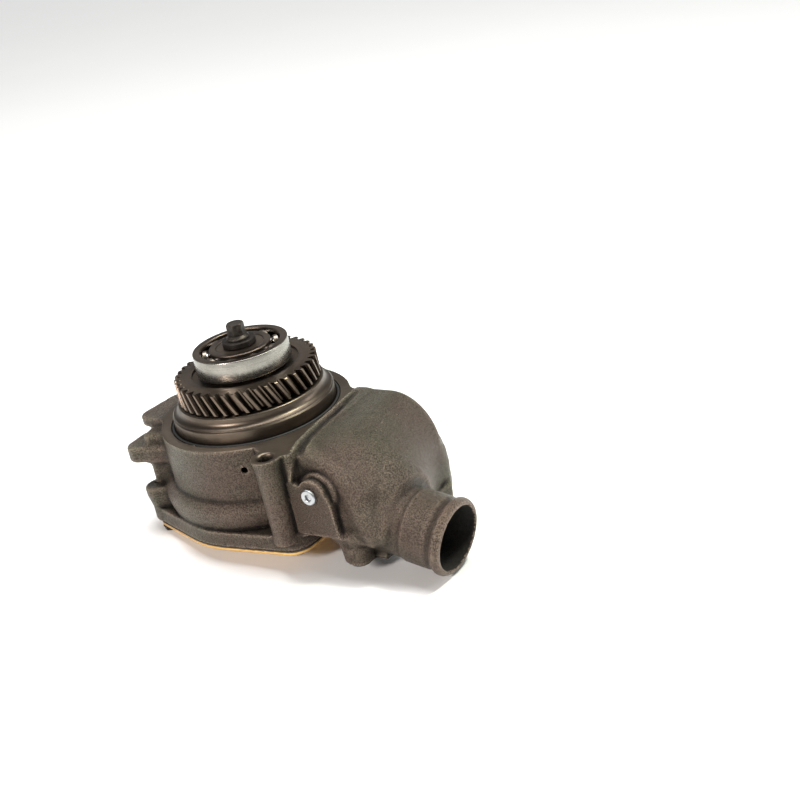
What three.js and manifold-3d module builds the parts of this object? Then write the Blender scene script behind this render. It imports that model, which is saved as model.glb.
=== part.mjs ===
// Gear-driven engine water pump. Millimetres, +Z up along the shaft, from the rear cover to the drive gear.
// The origin is where the shaft axis meets the outside of the rear cover. +X points along the hose pipe.
import * as THREE from "three";
import { mergeVertices } from "three/addons/utils/BufferGeometryUtils.js";
import Module from "manifold-3d";

const wasm = await Module();
wasm.setup();

const rad = THREE.MathUtils.degToRad;

// ---- driving dimensions -------------------------------------------------------------------------
// clearance between pieces
const GAP = 0.3;

// stack of faces along the shaft
const COVER_Z = [0.5, 3];
const GASKET_T = 0.8;
const FLANGE_BACK_Z = COVER_Z[1] + GASKET_T + 2 * GAP;
const FLANGE_TOP_Z = 17.5;
const FACE_Z = 88;
const PILOT_EDGE_Z = FACE_Z + 10.7;
const PILOT_TOP_Z = FACE_Z + 19.8;
const GEAR_Z = [109, 127.5];
const FRONT_BEARING_Z = 128.4;
const REAR_BEARING_Z = 86.3;
const SHAFT_TOP_Z = 146;
const WASHER_T = 5;

// round body; the hub holds the rear bearing, and the annulus round it is the suction passage
const DRUM_R = 80.6;
const DRUM_WALL = 7;
const PILOT_R = 68.3;
const O_RING_GROOVE = { r: 72.2, depth: 2.9 };
const HUB_R = 47;
const RIB_T = 10;
const EYE_R = 34;
const WEEP = { angle: -61.4, z: 70.3, r: 2.6 };

// volute, growing clockwise seen from the gear
const VOLUTE_START = -45;
const VOLUTE_R = 82.5;
const VOLUTE_GROWTH = 0.06;
const VOLUTE_Z = [9, 45];
const VOLUTE_WALL = 7;

// rear flange and its two visible corners
const FLANGE_R = 86.3;
const CORNERS = [
  { x: 66, y: -62, r: 17 },
  { x: -72, y: -54, r: 12 },
  { x: -60, y: 66, r: 13 },
  { x: 62, y: 64, r: 14 },
];

// side chamber that joins the hose pipe, the two ports and the drum
const CHAMBER_X = [87, 147];
const CHAMBER_Y = [-66, 47];
const CHAMBER_Z = [-5.5, 90];
const CHAMBER_WALL = 6.5;
const BULGE = { x: 108, y: -16, z: 24, reach: [62, 46, 66] };

// hose pipe, tilted down away from the gear
const PIPE_TILT = 11.4;
const PIPE_MOUTH = { x: 203, y: -32, z: 9 };
const PIPE_BORE_R = 26.2;
const PIPE_R = 29.6;
const BEAD_R = 31.4;
const PIPE_L = 66;

// port flange under the side chamber
const PORT = { x: 127, halfWidth: 19.5, y: [-52, 51], t: 13 };
const PORT_WINDOWS = [[-46, -4], [3, 43]];
const PORT_WINDOW_HALF = 13.5;
const PORT_EARS = [
  { y: -60, r: 9.5 },
  { y: 62, r: 9.5 },
];
const EAR_H = 26;
const EAR_HOLE_R = 4.5;

// lugs that bolt to the gear case, by azimuth and distance from the shaft
const MOUNT_LUG = { ...around(103, -47.8), r: 11.5, hole: 6.5, depth: 34 };
const DRUM_LUGS = [
  { deg: -165, out: 97, r: 10.5, z: [58, FACE_Z - 0.5] },
  { deg: -151, out: 107, r: 10.5, z: [54, 71] },
  { deg: 118, out: 104, r: 12, z: [56, FACE_Z], hole: 5.3, depth: 24 },
];

// socket plug in the wall beside the side chamber
const PLUG = { x: 101.2, y: -72, z: 55, headR: 6.6, threadR: 5, length: 9, pad: 14 };

// rear cover: a plate with a round boss stamped outwards, and its M6 bolts
const COVER_BOSS_R = 48;
const COVER_BOLT = { r: 2.9, reach: 12.5, tapped: 3.3, clear: 3.4, washerR: 6, headR: 5, headT: 4 };
const COVER_BOLTS = [
  { x: 68, y: -63.5 },
  { x: -75.5, y: -59 },
  { x: -63, y: 69 },
  { x: 65, y: 67 },
  around(69, -95),
  around(69, 180),
  around(69, 90),
  around(69, 0),
];

// drive gear, ten teeth per inch of pitch diameter
const TEETH = 41;
const HELIX = 25;
const NORMAL_MODULE = 2.54;

// deep-groove ball bearing, 40 x 80 x 18
const BRG = { bore: 20, outer: 40, w: 18, inner: 26, lip: 33.6, pitch: 30, ball: 6, count: 9 };

// radius of each step of the shaft, from the impeller up
const SHAFT = {
  tail: 14, seal: 15, lip: 17.5, journal: 20, collar: 25, gearSeat: 21, tapped: 5.3, tapDepth: 34,
};

// seals on the shaft
const OIL_SEAL_Z = [74.8, 82.6];
const SEAT_Z = [48.6, 55.9];
const SNAP_RING_Z = [104.75, 106.35];

// impeller, with its vanes towards the seal
const IMPELLER_R = 52;
const IMPELLER_Z = [8, 34];
const VANES = 6;

// ---- finishes -----------------------------------------------------------------------------------
const finish = (color, roughness, metalness) =>
  new THREE.MeshStandardMaterial({ color, roughness, metalness });
const MAT = {
  iron: finish(0x6b635b, 0.72, 0.55),
  machined: finish(0x7d7368, 0.35, 0.9),
  gear: finish(0x6e6155, 0.38, 0.9),
  bearing: finish(0xb9bcbd, 0.15, 1),
  black: finish(0x2f2b28, 0.55, 0.6),
  zinc: finish(0xc9ccd0, 0.3, 0.9),
  yellowZinc: finish(0xbf9750, 0.35, 0.85),
  rubber: finish(0x161616, 0.8, 0),
  paper: finish(0x4b433c, 0.95, 0),
  ceramic: finish(0xe2ddd0, 0.4, 0),
  carbon: finish(0x222224, 0.5, 0.1),
  brass: finish(0xa98a4a, 0.4, 0.9),
};

// ---- solids from three.js geometry --------------------------------------------------------------
function signedVolume(position, index) {
  const [a, b, c] = [new THREE.Vector3(), new THREE.Vector3(), new THREE.Vector3()];
  let sum = 0;
  for (let i = 0; i < index.length; i += 3) {
    a.fromArray(position, index[i] * 3);
    b.fromArray(position, index[i + 1] * 3);
    c.fromArray(position, index[i + 2] * 3);
    sum += a.dot(b.cross(c));
  }
  return sum;
}

/** A manifold solid from any closed geometry, faces turned outwards. */
function solid(geometry) {
  const bare = geometry.clone();
  bare.deleteAttribute("normal");
  bare.deleteAttribute("uv");
  const merged = mergeVertices(bare, 1e-4);
  const position = merged.getAttribute("position").array;
  const kept = [];
  for (let i = 0; i < merged.index.count; i += 3) {
    const [a, b, c] = [0, 1, 2].map((k) => merged.index.array[i + k]);
    if (a !== b && b !== c && c !== a) kept.push(a, b, c);
  }
  if (signedVolume(position, kept) < 0) kept.reverse();
  return new wasm.Manifold(new wasm.Mesh({
    numProp: 3,
    vertProperties: new Float32Array(position),
    triVerts: new Uint32Array(kept),
  }));
}

const join = (...parts) => parts.reduce((whole, part) => whole.add(part));
const cut = (whole, ...tools) => tools.reduce((rest, tool) => rest.subtract(tool), whole);

/** Turned solid about Z from a closed list of [radius, z]. */
function turned(profile, segments = 30) {
  const points = [...profile, profile[0]].map(([r, z]) => new THREE.Vector2(r, z));
  return solid(new THREE.LatheGeometry(points, segments).rotateX(Math.PI / 2));
}

const tube = (inner, outer, z0, z1, segments) =>
  turned([[inner, z0], [outer, z0], [outer, z1], [inner, z1]], segments);

function disc(r, z0, z1, x = 0, y = 0, segments = 16) {
  const geometry = new THREE.CylinderGeometry(r, r, z1 - z0, segments).rotateX(Math.PI / 2);
  return solid(geometry.translate(x, y, (z0 + z1) / 2));
}

function block([x0, x1], [y0, y1], [z0, z1]) {
  const geometry = new THREE.BoxGeometry(x1 - x0, y1 - y0, z1 - z0);
  return solid(geometry.translate((x0 + x1) / 2, (y0 + y1) / 2, (z0 + z1) / 2));
}

/** Solid with the outline in XY from z0 to z1, its edges rounded by bevel when that isn't 0. */
function slab(shape, z0, z1, bevel = 0, curveSegments = 6) {
  const geometry = new THREE.ExtrudeGeometry(shape, {
    depth: z1 - z0 - 2 * bevel,
    bevelEnabled: bevel > 0,
    bevelThickness: bevel,
    bevelSize: bevel,
    bevelOffset: -bevel,
    bevelSegments: 2,
    curveSegments,
  });
  return solid(geometry.translate(0, 0, z0 + bevel));
}

const shapeOf = (points) => new THREE.Shape(points.map(([x, y]) => new THREE.Vector2(x, y)));

/** Smallest outline round a set of circles, as points every few degrees. */
function hullOfCircles(circles, step = 10) {
  const points = [];
  for (let deg = 0; deg < 360; deg += step) {
    const [c, s] = [Math.cos(rad(deg)), Math.sin(rad(deg))];
    const reach = (k) => k.x * c + k.y * s + k.r;
    const far = circles.reduce((best, k) => (reach(k) > reach(best) ? k : best));
    points.push([far.x + far.r * c, far.y + far.r * s]);
  }
  return points;
}

function around(r, deg) {
  return { x: r * Math.cos(rad(deg)), y: r * Math.sin(rad(deg)) };
}

// ---- housing ------------------------------------------------------------------------------------
/** Radius of the volute's outside at an azimuth in degrees. */
function voluteRadius(deg) {
  const turn = (((VOLUTE_START - deg) % 360) + 360) % 360;
  return VOLUTE_R + VOLUTE_GROWTH * turn;
}

function voluteOutline(inset) {
  const points = [];
  for (let turn = 0; turn < 360; turn += 10) {
    const deg = VOLUTE_START - turn;
    const p = around(voluteRadius(deg) - inset, deg);
    points.push([p.x, p.y]);
  }
  return points.reverse();
}

function pilotProfile() {
  return [
    [30, FACE_Z - 6],
    [PILOT_R, FACE_Z - 6],
    [PILOT_R, PILOT_EDGE_Z - 1.2],
    [PILOT_R - 1.6, PILOT_EDGE_Z],
    [65.2, PILOT_EDGE_Z + 0.5],
    [63, PILOT_EDGE_Z + 2],
    [61.8, PILOT_EDGE_Z + 4.4],
    [61.6, PILOT_TOP_Z - 1],
    [60.6, PILOT_TOP_Z],
    [30, PILOT_TOP_Z],
  ];
}

/** Lug beside the drum: an upright boss and the wall that ties it to the drum. */
function drumLug({ deg, out, r, z: [z0, z1] }) {
  const c = around(out, deg);
  const wall = hullOfCircles([{ ...c, r: r * 0.8 }, { ...around(60, deg), r: r * 1.5 }], 15);
  return join(disc(r, z0, z1, c.x, c.y, 16), slab(shapeOf(wall), z0 + 1, z1 - 0.5));
}

function chamberBody() {
  const [x0, x1] = CHAMBER_X;
  const [z0, z1] = CHAMBER_Z;
  const [y0, y1] = CHAMBER_Y;
  const side = new THREE.Shape();
  side.moveTo(x0, z0);
  side.lineTo(x1 - 6, z0);
  side.lineTo(x1 - 1, z0 + 21);
  side.lineTo(x1 + 1, z1 - 47);
  side.absellipse(x1 - 40, z1 - 45, 41, 45, 0, Math.PI / 2, false);
  side.lineTo(x0, z1 - 1);
  const end = shapeOf([
    [y1, z0], [y1, z1 - 14], [y1 - 5, z1 - 3], [y1 - 14, z1], [y0 + 26, z1], [y0 + 15, z1 - 5],
    [y0 + 7, z1 - 19], [y0 + 3, z1 - 40], [y0, z0 + 28], [y0 + 4, z0 + 17], [y0 + 10, z0 + 8], [y0 + 20, z0],
  ]);
  const sideSolid = slab(side, y0 - 5, y1 + 5).rotate([90, 0, 0]).translate([0, y0 + y1, 0]);
  const endSolid = slab(end, x0 - 5, x1 + 5).rotate([90, 0, 90]);
  return join(sideSolid.intersect(endSolid), chamberBulge());
}

/** Swelling of the chamber's outer wall round the hose pipe. */
function chamberBulge() {
  const { z, reach } = BULGE;
  const side = new THREE.Shape();
  side.moveTo(BULGE.x - 10, CHAMBER_Z[0]);
  side.lineTo(CHAMBER_X[1] - 6, CHAMBER_Z[0]);
  side.lineTo(152, 1);
  side.lineTo(162, 8);
  side.lineTo(BULGE.x + reach[0], z);
  side.absellipse(BULGE.x, z, reach[0], reach[2], 0, Math.PI / 2, false);
  side.lineTo(BULGE.x - 10, z + reach[2]);
  const y = [BULGE.y - reach[1], BULGE.y + reach[1]];
  const limit = slab(side, ...y).rotate([90, 0, 0]).translate([0, y[0] + y[1], 0]);
  return wasm.Manifold.sphere(1, 36).scale(reach).translate([BULGE.x, BULGE.y, z]).intersect(limit);
}

/** Solid of revolution laid along the hose pipe; distances run back from the mouth into the chamber. */
function alongPipe(profile) {
  const { x, y, z } = PIPE_MOUTH;
  return turned(profile, 24).rotate([0, 90 + PIPE_TILT, 0]).translate([x, y, z]);
}

function pipeBody() {
  return alongPipe([
    [0, -PIPE_L], [PIPE_R + 5, -PIPE_L], [PIPE_R + 4, -44], [PIPE_R, -36], [PIPE_R, -13],
    [BEAD_R, -10], [BEAD_R, -3], [BEAD_R - 2, 0], [0, 0],
  ]);
}

function portOutline(grow = 0) {
  const half = PORT.halfWidth + grow;
  const [y0, y1] = PORT.y;
  const [near, far] = PORT_EARS;
  const earHalf = near.r + grow;
  return shapeOf([
    [PORT.x - half, y0 - grow], [PORT.x - earHalf, y0 - grow],
    ...arcPoints(PORT.x, near.y, earHalf, 180, 360, 6),
    [PORT.x + earHalf, y0 - grow], [PORT.x + half, y0 - grow],
    [PORT.x + half, y1 + grow], [PORT.x + earHalf, y1 + grow],
    ...arcPoints(PORT.x, far.y, earHalf, 0, 180, 6),
    [PORT.x - earHalf, y1 + grow], [PORT.x - half, y1 + grow],
  ]);
}

function arcPoints(x, y, r, from, to, steps) {
  const points = [];
  for (let i = 0; i <= steps; i += 1) {
    const a = rad(from + ((to - from) * i) / steps);
    points.push([x + r * Math.cos(a), y + r * Math.sin(a)]);
  }
  return points;
}

const portWindow = ([y0, y1], z0, z1) =>
  block([PORT.x - PORT_WINDOW_HALF, PORT.x + PORT_WINDOW_HALF], [y0, y1], [z0, z1]);

function housing() {
  const chamberInner = CHAMBER_X[0] + 22;
  const bottom = CHAMBER_Z[0];
  const flange = hullOfCircles([{ x: 0, y: 0, r: FLANGE_R }, ...CORNERS]);
  const bossedCorner = CORNERS[1];
  const body = join(
    disc(DRUM_R, VOLUTE_Z[1] - 10, FACE_Z, 0, 0, 30),
    slab(shapeOf(voluteOutline(0)), ...VOLUTE_Z, VOLUTE_WALL),
    slab(shapeOf(flange), FLANGE_BACK_Z, FLANGE_TOP_Z),
    block([40, 88], [-58, 46], [FLANGE_TOP_Z - 1, FACE_Z]),
    block([50, 110], [0, 50], [FLANGE_BACK_Z, 60]),
    turned(pilotProfile(), 40),
    chamberBody(),
    slab(portOutline(), bottom, bottom + PORT.t),
    ...PORT_EARS.map((ear) => disc(ear.r, bottom, bottom + EAR_H, PORT.x, ear.y, 16)),
    block([PORT.x - 8, PORT.x + 8], [40, PORT_EARS[1].y], [bottom, bottom + EAR_H - 2]),
    pipeBody(),
    disc(MOUNT_LUG.r, FLANGE_TOP_Z - 3, FACE_Z, MOUNT_LUG.x, MOUNT_LUG.y, 16),
    block([62, 88], [-72, -50], [FLANGE_TOP_Z - 1, FACE_Z - 1]),
    ...DRUM_LUGS.map(drumLug),
    disc(bossedCorner.r, FLANGE_BACK_Z, 2 * FLANGE_TOP_Z - 1, bossedCorner.x, bossedCorner.y, 20),
    plugPad(),
  );
  const chamberWidth = [CHAMBER_X[0] - 10, PORT.x + PORT.halfWidth + 1];
  const underPort = block(chamberWidth, [-90, 90], [bottom - 30, bottom]);
  const besideCover = block([CHAMBER_X[0] - 3, chamberInner - 7], [-90, -4], [bottom - 1, FLANGE_TOP_Z]);
  return cut(
    body, underPort, besideCover, ...flowPassages(chamberInner), ...shaftBores(), ...smallHoles(),
  );
}

/** Flat wall beside the chamber that carries the side plug. */
function plugPad() {
  const left = 80;
  const outline = shapeOf([
    [left, 19], [121, 19], [118, 50], ...arcPoints(PLUG.x + 2, PLUG.z, PLUG.pad, 0, 135, 6), [left, 66],
  ]);
  return slab(outline, 54, -PLUG.y).rotate([90, 0, 0]);
}

function flowPassages(chamberInner) {
  const wallX = [chamberInner, CHAMBER_X[1] - CHAMBER_WALL];
  const [near, far] = PORT_WINDOWS;
  const top = FACE_Z - 9;
  const shell = DRUM_R - DRUM_WALL;
  const annulus = cut(
    turned([[HUB_R, top], [shell, top + 3], [shell, 52], [31, 47], [27, 49], [HUB_R, 62]]),
    ...[0, 130, 240].map((turn) =>
      block([20, 80], [-RIB_T / 2, RIB_T / 2], [40, 90]).rotate([0, 0, WEEP.angle + turn])),
  );
  return [
    annulus,
    disc(EYE_R, 36, 53, 0, 0, 30).subtract(disc(26.5, 46, 60, 0, 0, 30)),
    block([66, chamberInner + 1], [-36, 30], [54, top]),
    block(wallX, near, [0, 56]),
    block([chamberInner, CHAMBER_X[1] - 20], [near[0] + 4, far[1] - 4], [50, top - 4]),
    portWindow(near, CHAMBER_Z[0] - 1, 20),
    block(wallX, [far[0], far[1] - 2], [0, 42]),
    portWindow(far, CHAMBER_Z[0] - 1, 20),
    block([52, chamberInner + 1], [10, 42], [14, 38]),
    disc(IMPELLER_R + 2.5, FLANGE_BACK_Z - 1, 40, 0, 0, 30),
    slab(shapeOf(voluteOutline(VOLUTE_WALL)), VOLUTE_Z[0] + VOLUTE_WALL, VOLUTE_Z[1] - VOLUTE_WALL),
    alongPipe([[0, -PIPE_L + 3], [PIPE_BORE_R, -PIPE_L + 3], [PIPE_BORE_R, 1], [0, 1]]),
  ];
}

/** Bores on the shaft axis, from the seal seat up to the snap ring, and the O-ring groove. */
function shaftBores() {
  const bore = (r, z0, z1) => disc(r, z0, z1, 0, 0, 30);
  return [
    bore(20.3, 40, SEAT_Z[1] + 0.4),
    bore(SHAFT.seal + 2, 50, 90),
    bore(26, 64, OIL_SEAL_Z[0] - GAP),
    bore(31, OIL_SEAL_Z[0] - 0.8, OIL_SEAL_Z[1] + 0.4),
    bore(30, OIL_SEAL_Z[1] - 0.6, 90),
    bore(BRG.outer + GAP, REAR_BEARING_Z - GAP, PILOT_TOP_Z + 1),
    bore(42, SNAP_RING_Z[0] - 0.15, SNAP_RING_Z[1] + 0.25),
    tube(PILOT_R - 0.1, O_RING_GROOVE.r, FACE_Z - O_RING_GROOVE.depth, FACE_Z + 1, 30),
  ];
}

function smallHoles() {
  const weep = new THREE.CylinderGeometry(WEEP.r, WEEP.r, 60, 12).rotateZ(Math.PI / 2);
  const plugHole = new THREE.CylinderGeometry(PLUG.threadR + GAP, PLUG.threadR + GAP, 22, 12);
  const drilled = DRUM_LUGS.filter((lug) => lug.hole).map((lug) => ({ ...lug, ...around(lug.out, lug.deg) }));
  const bottom = CHAMBER_Z[0];
  return [
    solid(weep.translate(53, 0, WEEP.z)).rotate([0, 0, WEEP.angle]),
    solid(plugHole.translate(PLUG.x, PLUG.y, PLUG.z)),
    ...[MOUNT_LUG, ...drilled].map((p) => disc(p.hole, FACE_Z - p.depth, FACE_Z + 1, p.x, p.y, 12)),
    ...PORT_EARS.map((ear) => disc(EAR_HOLE_R, bottom - 1, bottom + EAR_H - 7, PORT.x, ear.y, 12)),
    ...COVER_BOLTS.map((p) => disc(COVER_BOLT.tapped, FLANGE_BACK_Z - 1, 14.5, p.x, p.y, 8)),
  ];
}

// ---- rear cover, its gasket and bolts -----------------------------------------------------------
const coverOutline = () => shapeOf(hullOfCircles([{ x: 0, y: 0, r: FLANGE_R - 0.4 }, ...CORNERS]));

function rearCover() {
  const [z0, z1] = COVER_Z;
  const plate = join(slab(coverOutline(), z0, z1), disc(COVER_BOSS_R, 0, z1, 0, 0, 36));
  const hollow = disc(COVER_BOSS_R - 2, z1 - z0, z1 + 1, 0, 0, 36);
  return cut(plate, hollow, ...COVER_BOLTS.map((p) => disc(COVER_BOLT.clear, -1, z1 + 1, p.x, p.y, 8)));
}

function coverGasket() {
  const z0 = COVER_Z[1] + GAP;
  const sheet = slab(coverOutline(), z0, z0 + GASKET_T);
  const holes = COVER_BOLTS.map((p) => disc(COVER_BOLT.clear + 0.2, z0 - 1, z0 + 3, p.x, p.y, 8));
  return cut(sheet, disc(IMPELLER_R + 4, z0 - 1, z0 + 3, 0, 0, 30), ...holes);
}

function coverBolt({ x, y }) {
  const seat = COVER_Z[0] - GAP;
  const bolt = join(
    disc(COVER_BOLT.r, seat - 1, COVER_BOLT.reach, 0, 0, 8),
    disc(COVER_BOLT.washerR, seat - 1.3, seat, 0, 0, 12),
    disc(COVER_BOLT.headR, seat - 1 - COVER_BOLT.headT, seat - 1, 0, 0, 6),
  );
  return bolt.translate([x, y, 0]);
}

function portGasket() {
  const z1 = CHAMBER_Z[0] - GAP;
  const z0 = z1 - 1;
  const sheet = slab(portOutline(), z0, z1);
  const holes = PORT_EARS.map((ear) => disc(EAR_HOLE_R + 0.5, z0 - 1, z1 + 1, PORT.x, ear.y, 12));
  return cut(sheet, ...PORT_WINDOWS.map((w) => portWindow(w, z0 - 1, z1 + 1)), ...holes);
}

function sidePlug() {
  const { x, y, z, headR, threadR, length } = PLUG;
  const [headT, socketR, socketFloor] = [3.4, 2.6, 0.6];
  const profile = [
    [0, socketFloor], [socketR, socketFloor], [socketR, headT], [headR - 0.5, headT], [headR, headT - 0.5],
    [headR, GAP], [threadR, GAP], [threadR, -length], [0, -length],
  ];
  return turned(profile, 16).rotate([90, 0, 0]).translate([x, y, z]);
}

// ---- bearings and seals -------------------------------------------------------------------------
/** Profile of the ball groove, cut by an arc round the ball centre. */
function grooveArc(sign, mid, r = BRG.ball + 0.45) {
  const edge = Math.abs(sign > 0 ? BRG.lip - BRG.pitch : BRG.pitch - BRG.inner);
  const reach = Math.acos(edge / r);
  const steps = [-1, -0.5, 0, 0.5, 1];
  return steps.map((k) => [BRG.pitch + sign * r * Math.cos(k * reach), mid + r * Math.sin(k * reach)]);
}

function bearingOuter(z) {
  const [top, mid, c] = [z + BRG.w, z + BRG.w / 2, 1.1];
  return turned([
    [BRG.lip, z], [BRG.outer - c, z], [BRG.outer, z + c], [BRG.outer, top - c], [BRG.outer - c, top],
    [BRG.lip, top], ...grooveArc(1, mid).reverse(),
  ]);
}

function bearingInner(z) {
  const [top, mid] = [z + BRG.w, z + BRG.w / 2];
  return turned([
    [BRG.bore + GAP, z], [BRG.inner, z], ...grooveArc(-1, mid), [BRG.inner, top], [BRG.bore + GAP, top],
  ]);
}

const ballPlace = (i) => around(BRG.pitch, (360 / BRG.count) * i + 12);

function bearingBall(z, i) {
  const p = ballPlace(i);
  return solid(new THREE.SphereGeometry(BRG.ball, 9, 6).translate(p.x, p.y, z + BRG.w / 2));
}

function bearingCage(z) {
  const mid = z + BRG.w / 2;
  const band = tube(28.4, 31.4, mid - 8.2, mid + 8.2, 27);
  const pockets = [];
  for (let i = 0; i < BRG.count; i += 1) {
    const p = ballPlace(i);
    pockets.push(solid(new THREE.SphereGeometry(BRG.ball + 1, 8, 6).translate(p.x, p.y, mid)));
  }
  return cut(band, ...pockets);
}

function snapRing() {
  const ring = tube(37.4, 41.6, ...SNAP_RING_Z, 30);
  return cut(ring, block([30, 45], [-5, 5], [100, 110]));
}

/** Rubber-covered oil seal with a lip that leans along the shaft. */
function oilSeal() {
  const [z0, z1] = OIL_SEAL_Z;
  const lip = SHAFT.lip + 0.35;
  return turned([
    [lip, z0 + 0.4], [20, z0], [30.7, z0], [30.7, z1], [24, z1], [24, z0 + 2.4], [20.5, z0 + 2.4],
    [lip + 0.35, z1 - 2], [lip, z1 - 3.6],
  ], 24);
}

const sealSeat = () => tube(SHAFT.seal + 1, 20, ...SEAT_Z, 24);

function sealFace() {
  const [inner, z1] = [SHAFT.seal + GAP, SEAT_Z[0] - GAP];
  return turned([
    [inner, z1 - 3.7], [19, z1 - 3.7], [19, z1 - 1.9], [17.8, z1], [inner + 0.6, z1], [inner, z1 - 0.7],
  ], 24);
}

function sealCup() {
  const [inner, outer, wall] = [SHAFT.seal + GAP, 21.5, 1.2];
  const [z0, z1] = [IMPELLER_Z[1] + 0.8, 43.4];
  return turned([
    [inner, z0], [outer, z0], [outer, z1], [outer - wall, z1], [outer - wall, z0 + wall], [inner, z0 + wall],
  ], 24);
}

function sealSpring() {
  const [turns, perTurn, coilR, wireR, z0, height] = [3, 16, 18, 0.8, 37.2, 6.2];
  const points = [];
  for (let i = 0; i <= turns * perTurn; i += 1) {
    const p = around(coilR, (i / perTurn) * 360);
    points.push(new THREE.Vector3(p.x, p.y, z0 + (i / (turns * perTurn)) * height));
  }
  const section = new THREE.Shape();
  section.absarc(0, 0, wireR, 0, 2 * Math.PI);
  return solid(new THREE.ExtrudeGeometry(section, {
    extrudePath: new THREE.CatmullRomCurve3(points),
    steps: turns * 12,
    curveSegments: 2,
    bevelEnabled: false,
  }));
}

function pilotRing() {
  const cordR = 1.65;
  const section = arcPoints((PILOT_R + O_RING_GROOVE.r) / 2 - 0.05, FACE_Z - 0.8, cordR, 0, 300, 5);
  return turned(section, 30);
}

// ---- rotor --------------------------------------------------------------------------------------
function shaft() {
  const { tail, seal, lip, journal, collar, gearSeat, tapped, tapDepth } = SHAFT;
  const collarZ = [106, GEAR_Z[0] - 0.4];
  const gearEnd = GEAR_Z[1] - 0.5;
  const body = turned([
    [0, 9], [tail, 9], [tail, 34.2], [seal, 34.2], [seal, 66], [lip, 67], [lip, 84], [journal, 85.2],
    [journal, collarZ[0]], [collar, collarZ[0]], [collar, collarZ[1]], [gearSeat, collarZ[1]],
    [gearSeat, gearEnd], [journal, gearEnd], [journal, SHAFT_TOP_Z - 1], [journal - 1, SHAFT_TOP_Z],
    [0, SHAFT_TOP_Z],
  ], 24);
  return cut(body, disc(tapped, SHAFT_TOP_Z - tapDepth, SHAFT_TOP_Z + 1));
}

/** Outline of the gear as cut across the shaft: straight flanks from root to tip. */
function gearOutline() {
  const pitchR = (TEETH * NORMAL_MODULE) / Math.cos(rad(HELIX)) / 2;
  const [tipR, rootR] = [pitchR + NORMAL_MODULE, pitchR - 1.2 * NORMAL_MODULE];
  const pitch = 360 / TEETH;
  const points = [];
  for (let i = 0; i < TEETH; i += 1) {
    const mid = i * pitch;
    for (const [r, share] of [[rootR, -0.36], [tipR, -0.13], [tipR, 0.13], [rootR, 0.36]]) {
      const p = around(r, mid + share * pitch);
      points.push([p.x, p.y]);
    }
  }
  return { points, pitchR };
}

function driveGear() {
  const { points, pitchR } = gearOutline();
  const [z0, z1] = GEAR_Z;
  const steps = 2;
  const blank = new THREE.ExtrudeGeometry(shapeOf(points), { depth: z1 - z0, steps, bevelEnabled: false });
  const twist = -Math.tan(rad(HELIX)) / pitchR;
  const position = blank.getAttribute("position");
  for (let i = 0; i < position.count; i += 1) {
    const v = new THREE.Vector3().fromBufferAttribute(position, i);
    v.applyAxisAngle(new THREE.Vector3(0, 0, 1), twist * (v.z - (z1 - z0)));
    position.setXYZ(i, v.x, v.y, v.z);
  }
  return cut(
    solid(blank.translate(0, 0, z0)),
    disc(SHAFT.gearSeat + GAP, z0 - 1, z1 + 1, 0, 0, 24),
    tube(27, 45, z1 - 2.2, z1 + 1, 30),
    tube(28, 46, z0 - 1, z0 + 2.2, 24),
  );
}

/** Shrouded disc with curved vanes that face the seal, and a hub on the shaft. */
function impeller() {
  const [z0, z1] = IMPELLER_Z;
  const boreR = SHAFT.tail + GAP;
  const vanes = [];
  for (let i = 0; i < VANES; i += 1) {
    const outer = arcPoints(-4, 27, 27.5, -78, 18, 5);
    const inner = arcPoints(-4, 27, 24, -78, 18, 5).reverse();
    vanes.push(slab(shapeOf([...outer, ...inner]), z0 + 3, z1).rotate([0, 0, (360 / VANES) * i]));
  }
  const rim = disc(IMPELLER_R - 0.5, z0, z1 + 2, 0, 0, 30);
  const core = turned([
    [boreR, z0], [IMPELLER_R, z0], [IMPELLER_R, z0 + 3.6], [34, z0 + 5], [24, z0 + 10], [21.4, z0 + 18],
    [21.4, z1], [boreR, z1],
  ], 24);
  const bore = disc(boreR, 0, 40, 0, 0, 24);
  const eye = turned([[0, z1 - 5], [24, z1 - 5], [EYE_R, z1 + 2.5], [EYE_R, 40], [0, 40]], 24);
  return join(cut(join(...vanes).intersect(rim), eye, bore), core);
}

function washer() {
  const [inner, outer, z0, z1] = [6.6, 13.9, SHAFT_TOP_Z + GAP, SHAFT_TOP_Z + GAP + WASHER_T];
  return turned([
    [inner, z0], [outer - 0.5, z0], [outer, z0 + 0.5], [outer, z1 - 0.7], [outer - 0.7, z1], [inner, z1],
  ], 24);
}

function shaftBolt() {
  const z = SHAFT_TOP_Z + WASHER_T + 2 * GAP;
  return join(
    disc(5, 116, z + 1, 0, 0, 20),
    turned([[0, z], [9.2, z], [9.6, z + 0.5], [9.4, z + 1.6], [7, z + 3.6], [0, z + 3.6]], 24),
    disc(7.6, z + 3, z + 12.6, 0, 0, 6),
    turned([[0, z + 12.4], [6.7, z + 12.4], [5.9, z + 13.4], [0, z + 13.4]], 12),
  );
}

// ---- assembly -----------------------------------------------------------------------------------
function meshOf(manifold, name, material) {
  const { vertProperties, triVerts } = manifold.getMesh();
  const geometry = new THREE.BufferGeometry();
  geometry.setAttribute("position", new THREE.BufferAttribute(vertProperties, 3));
  geometry.setIndex(new THREE.BufferAttribute(triVerts, 1));
  geometry.computeVertexNormals();
  const mesh = new THREE.Mesh(geometry, material);
  mesh.name = name;
  return mesh;
}

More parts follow.
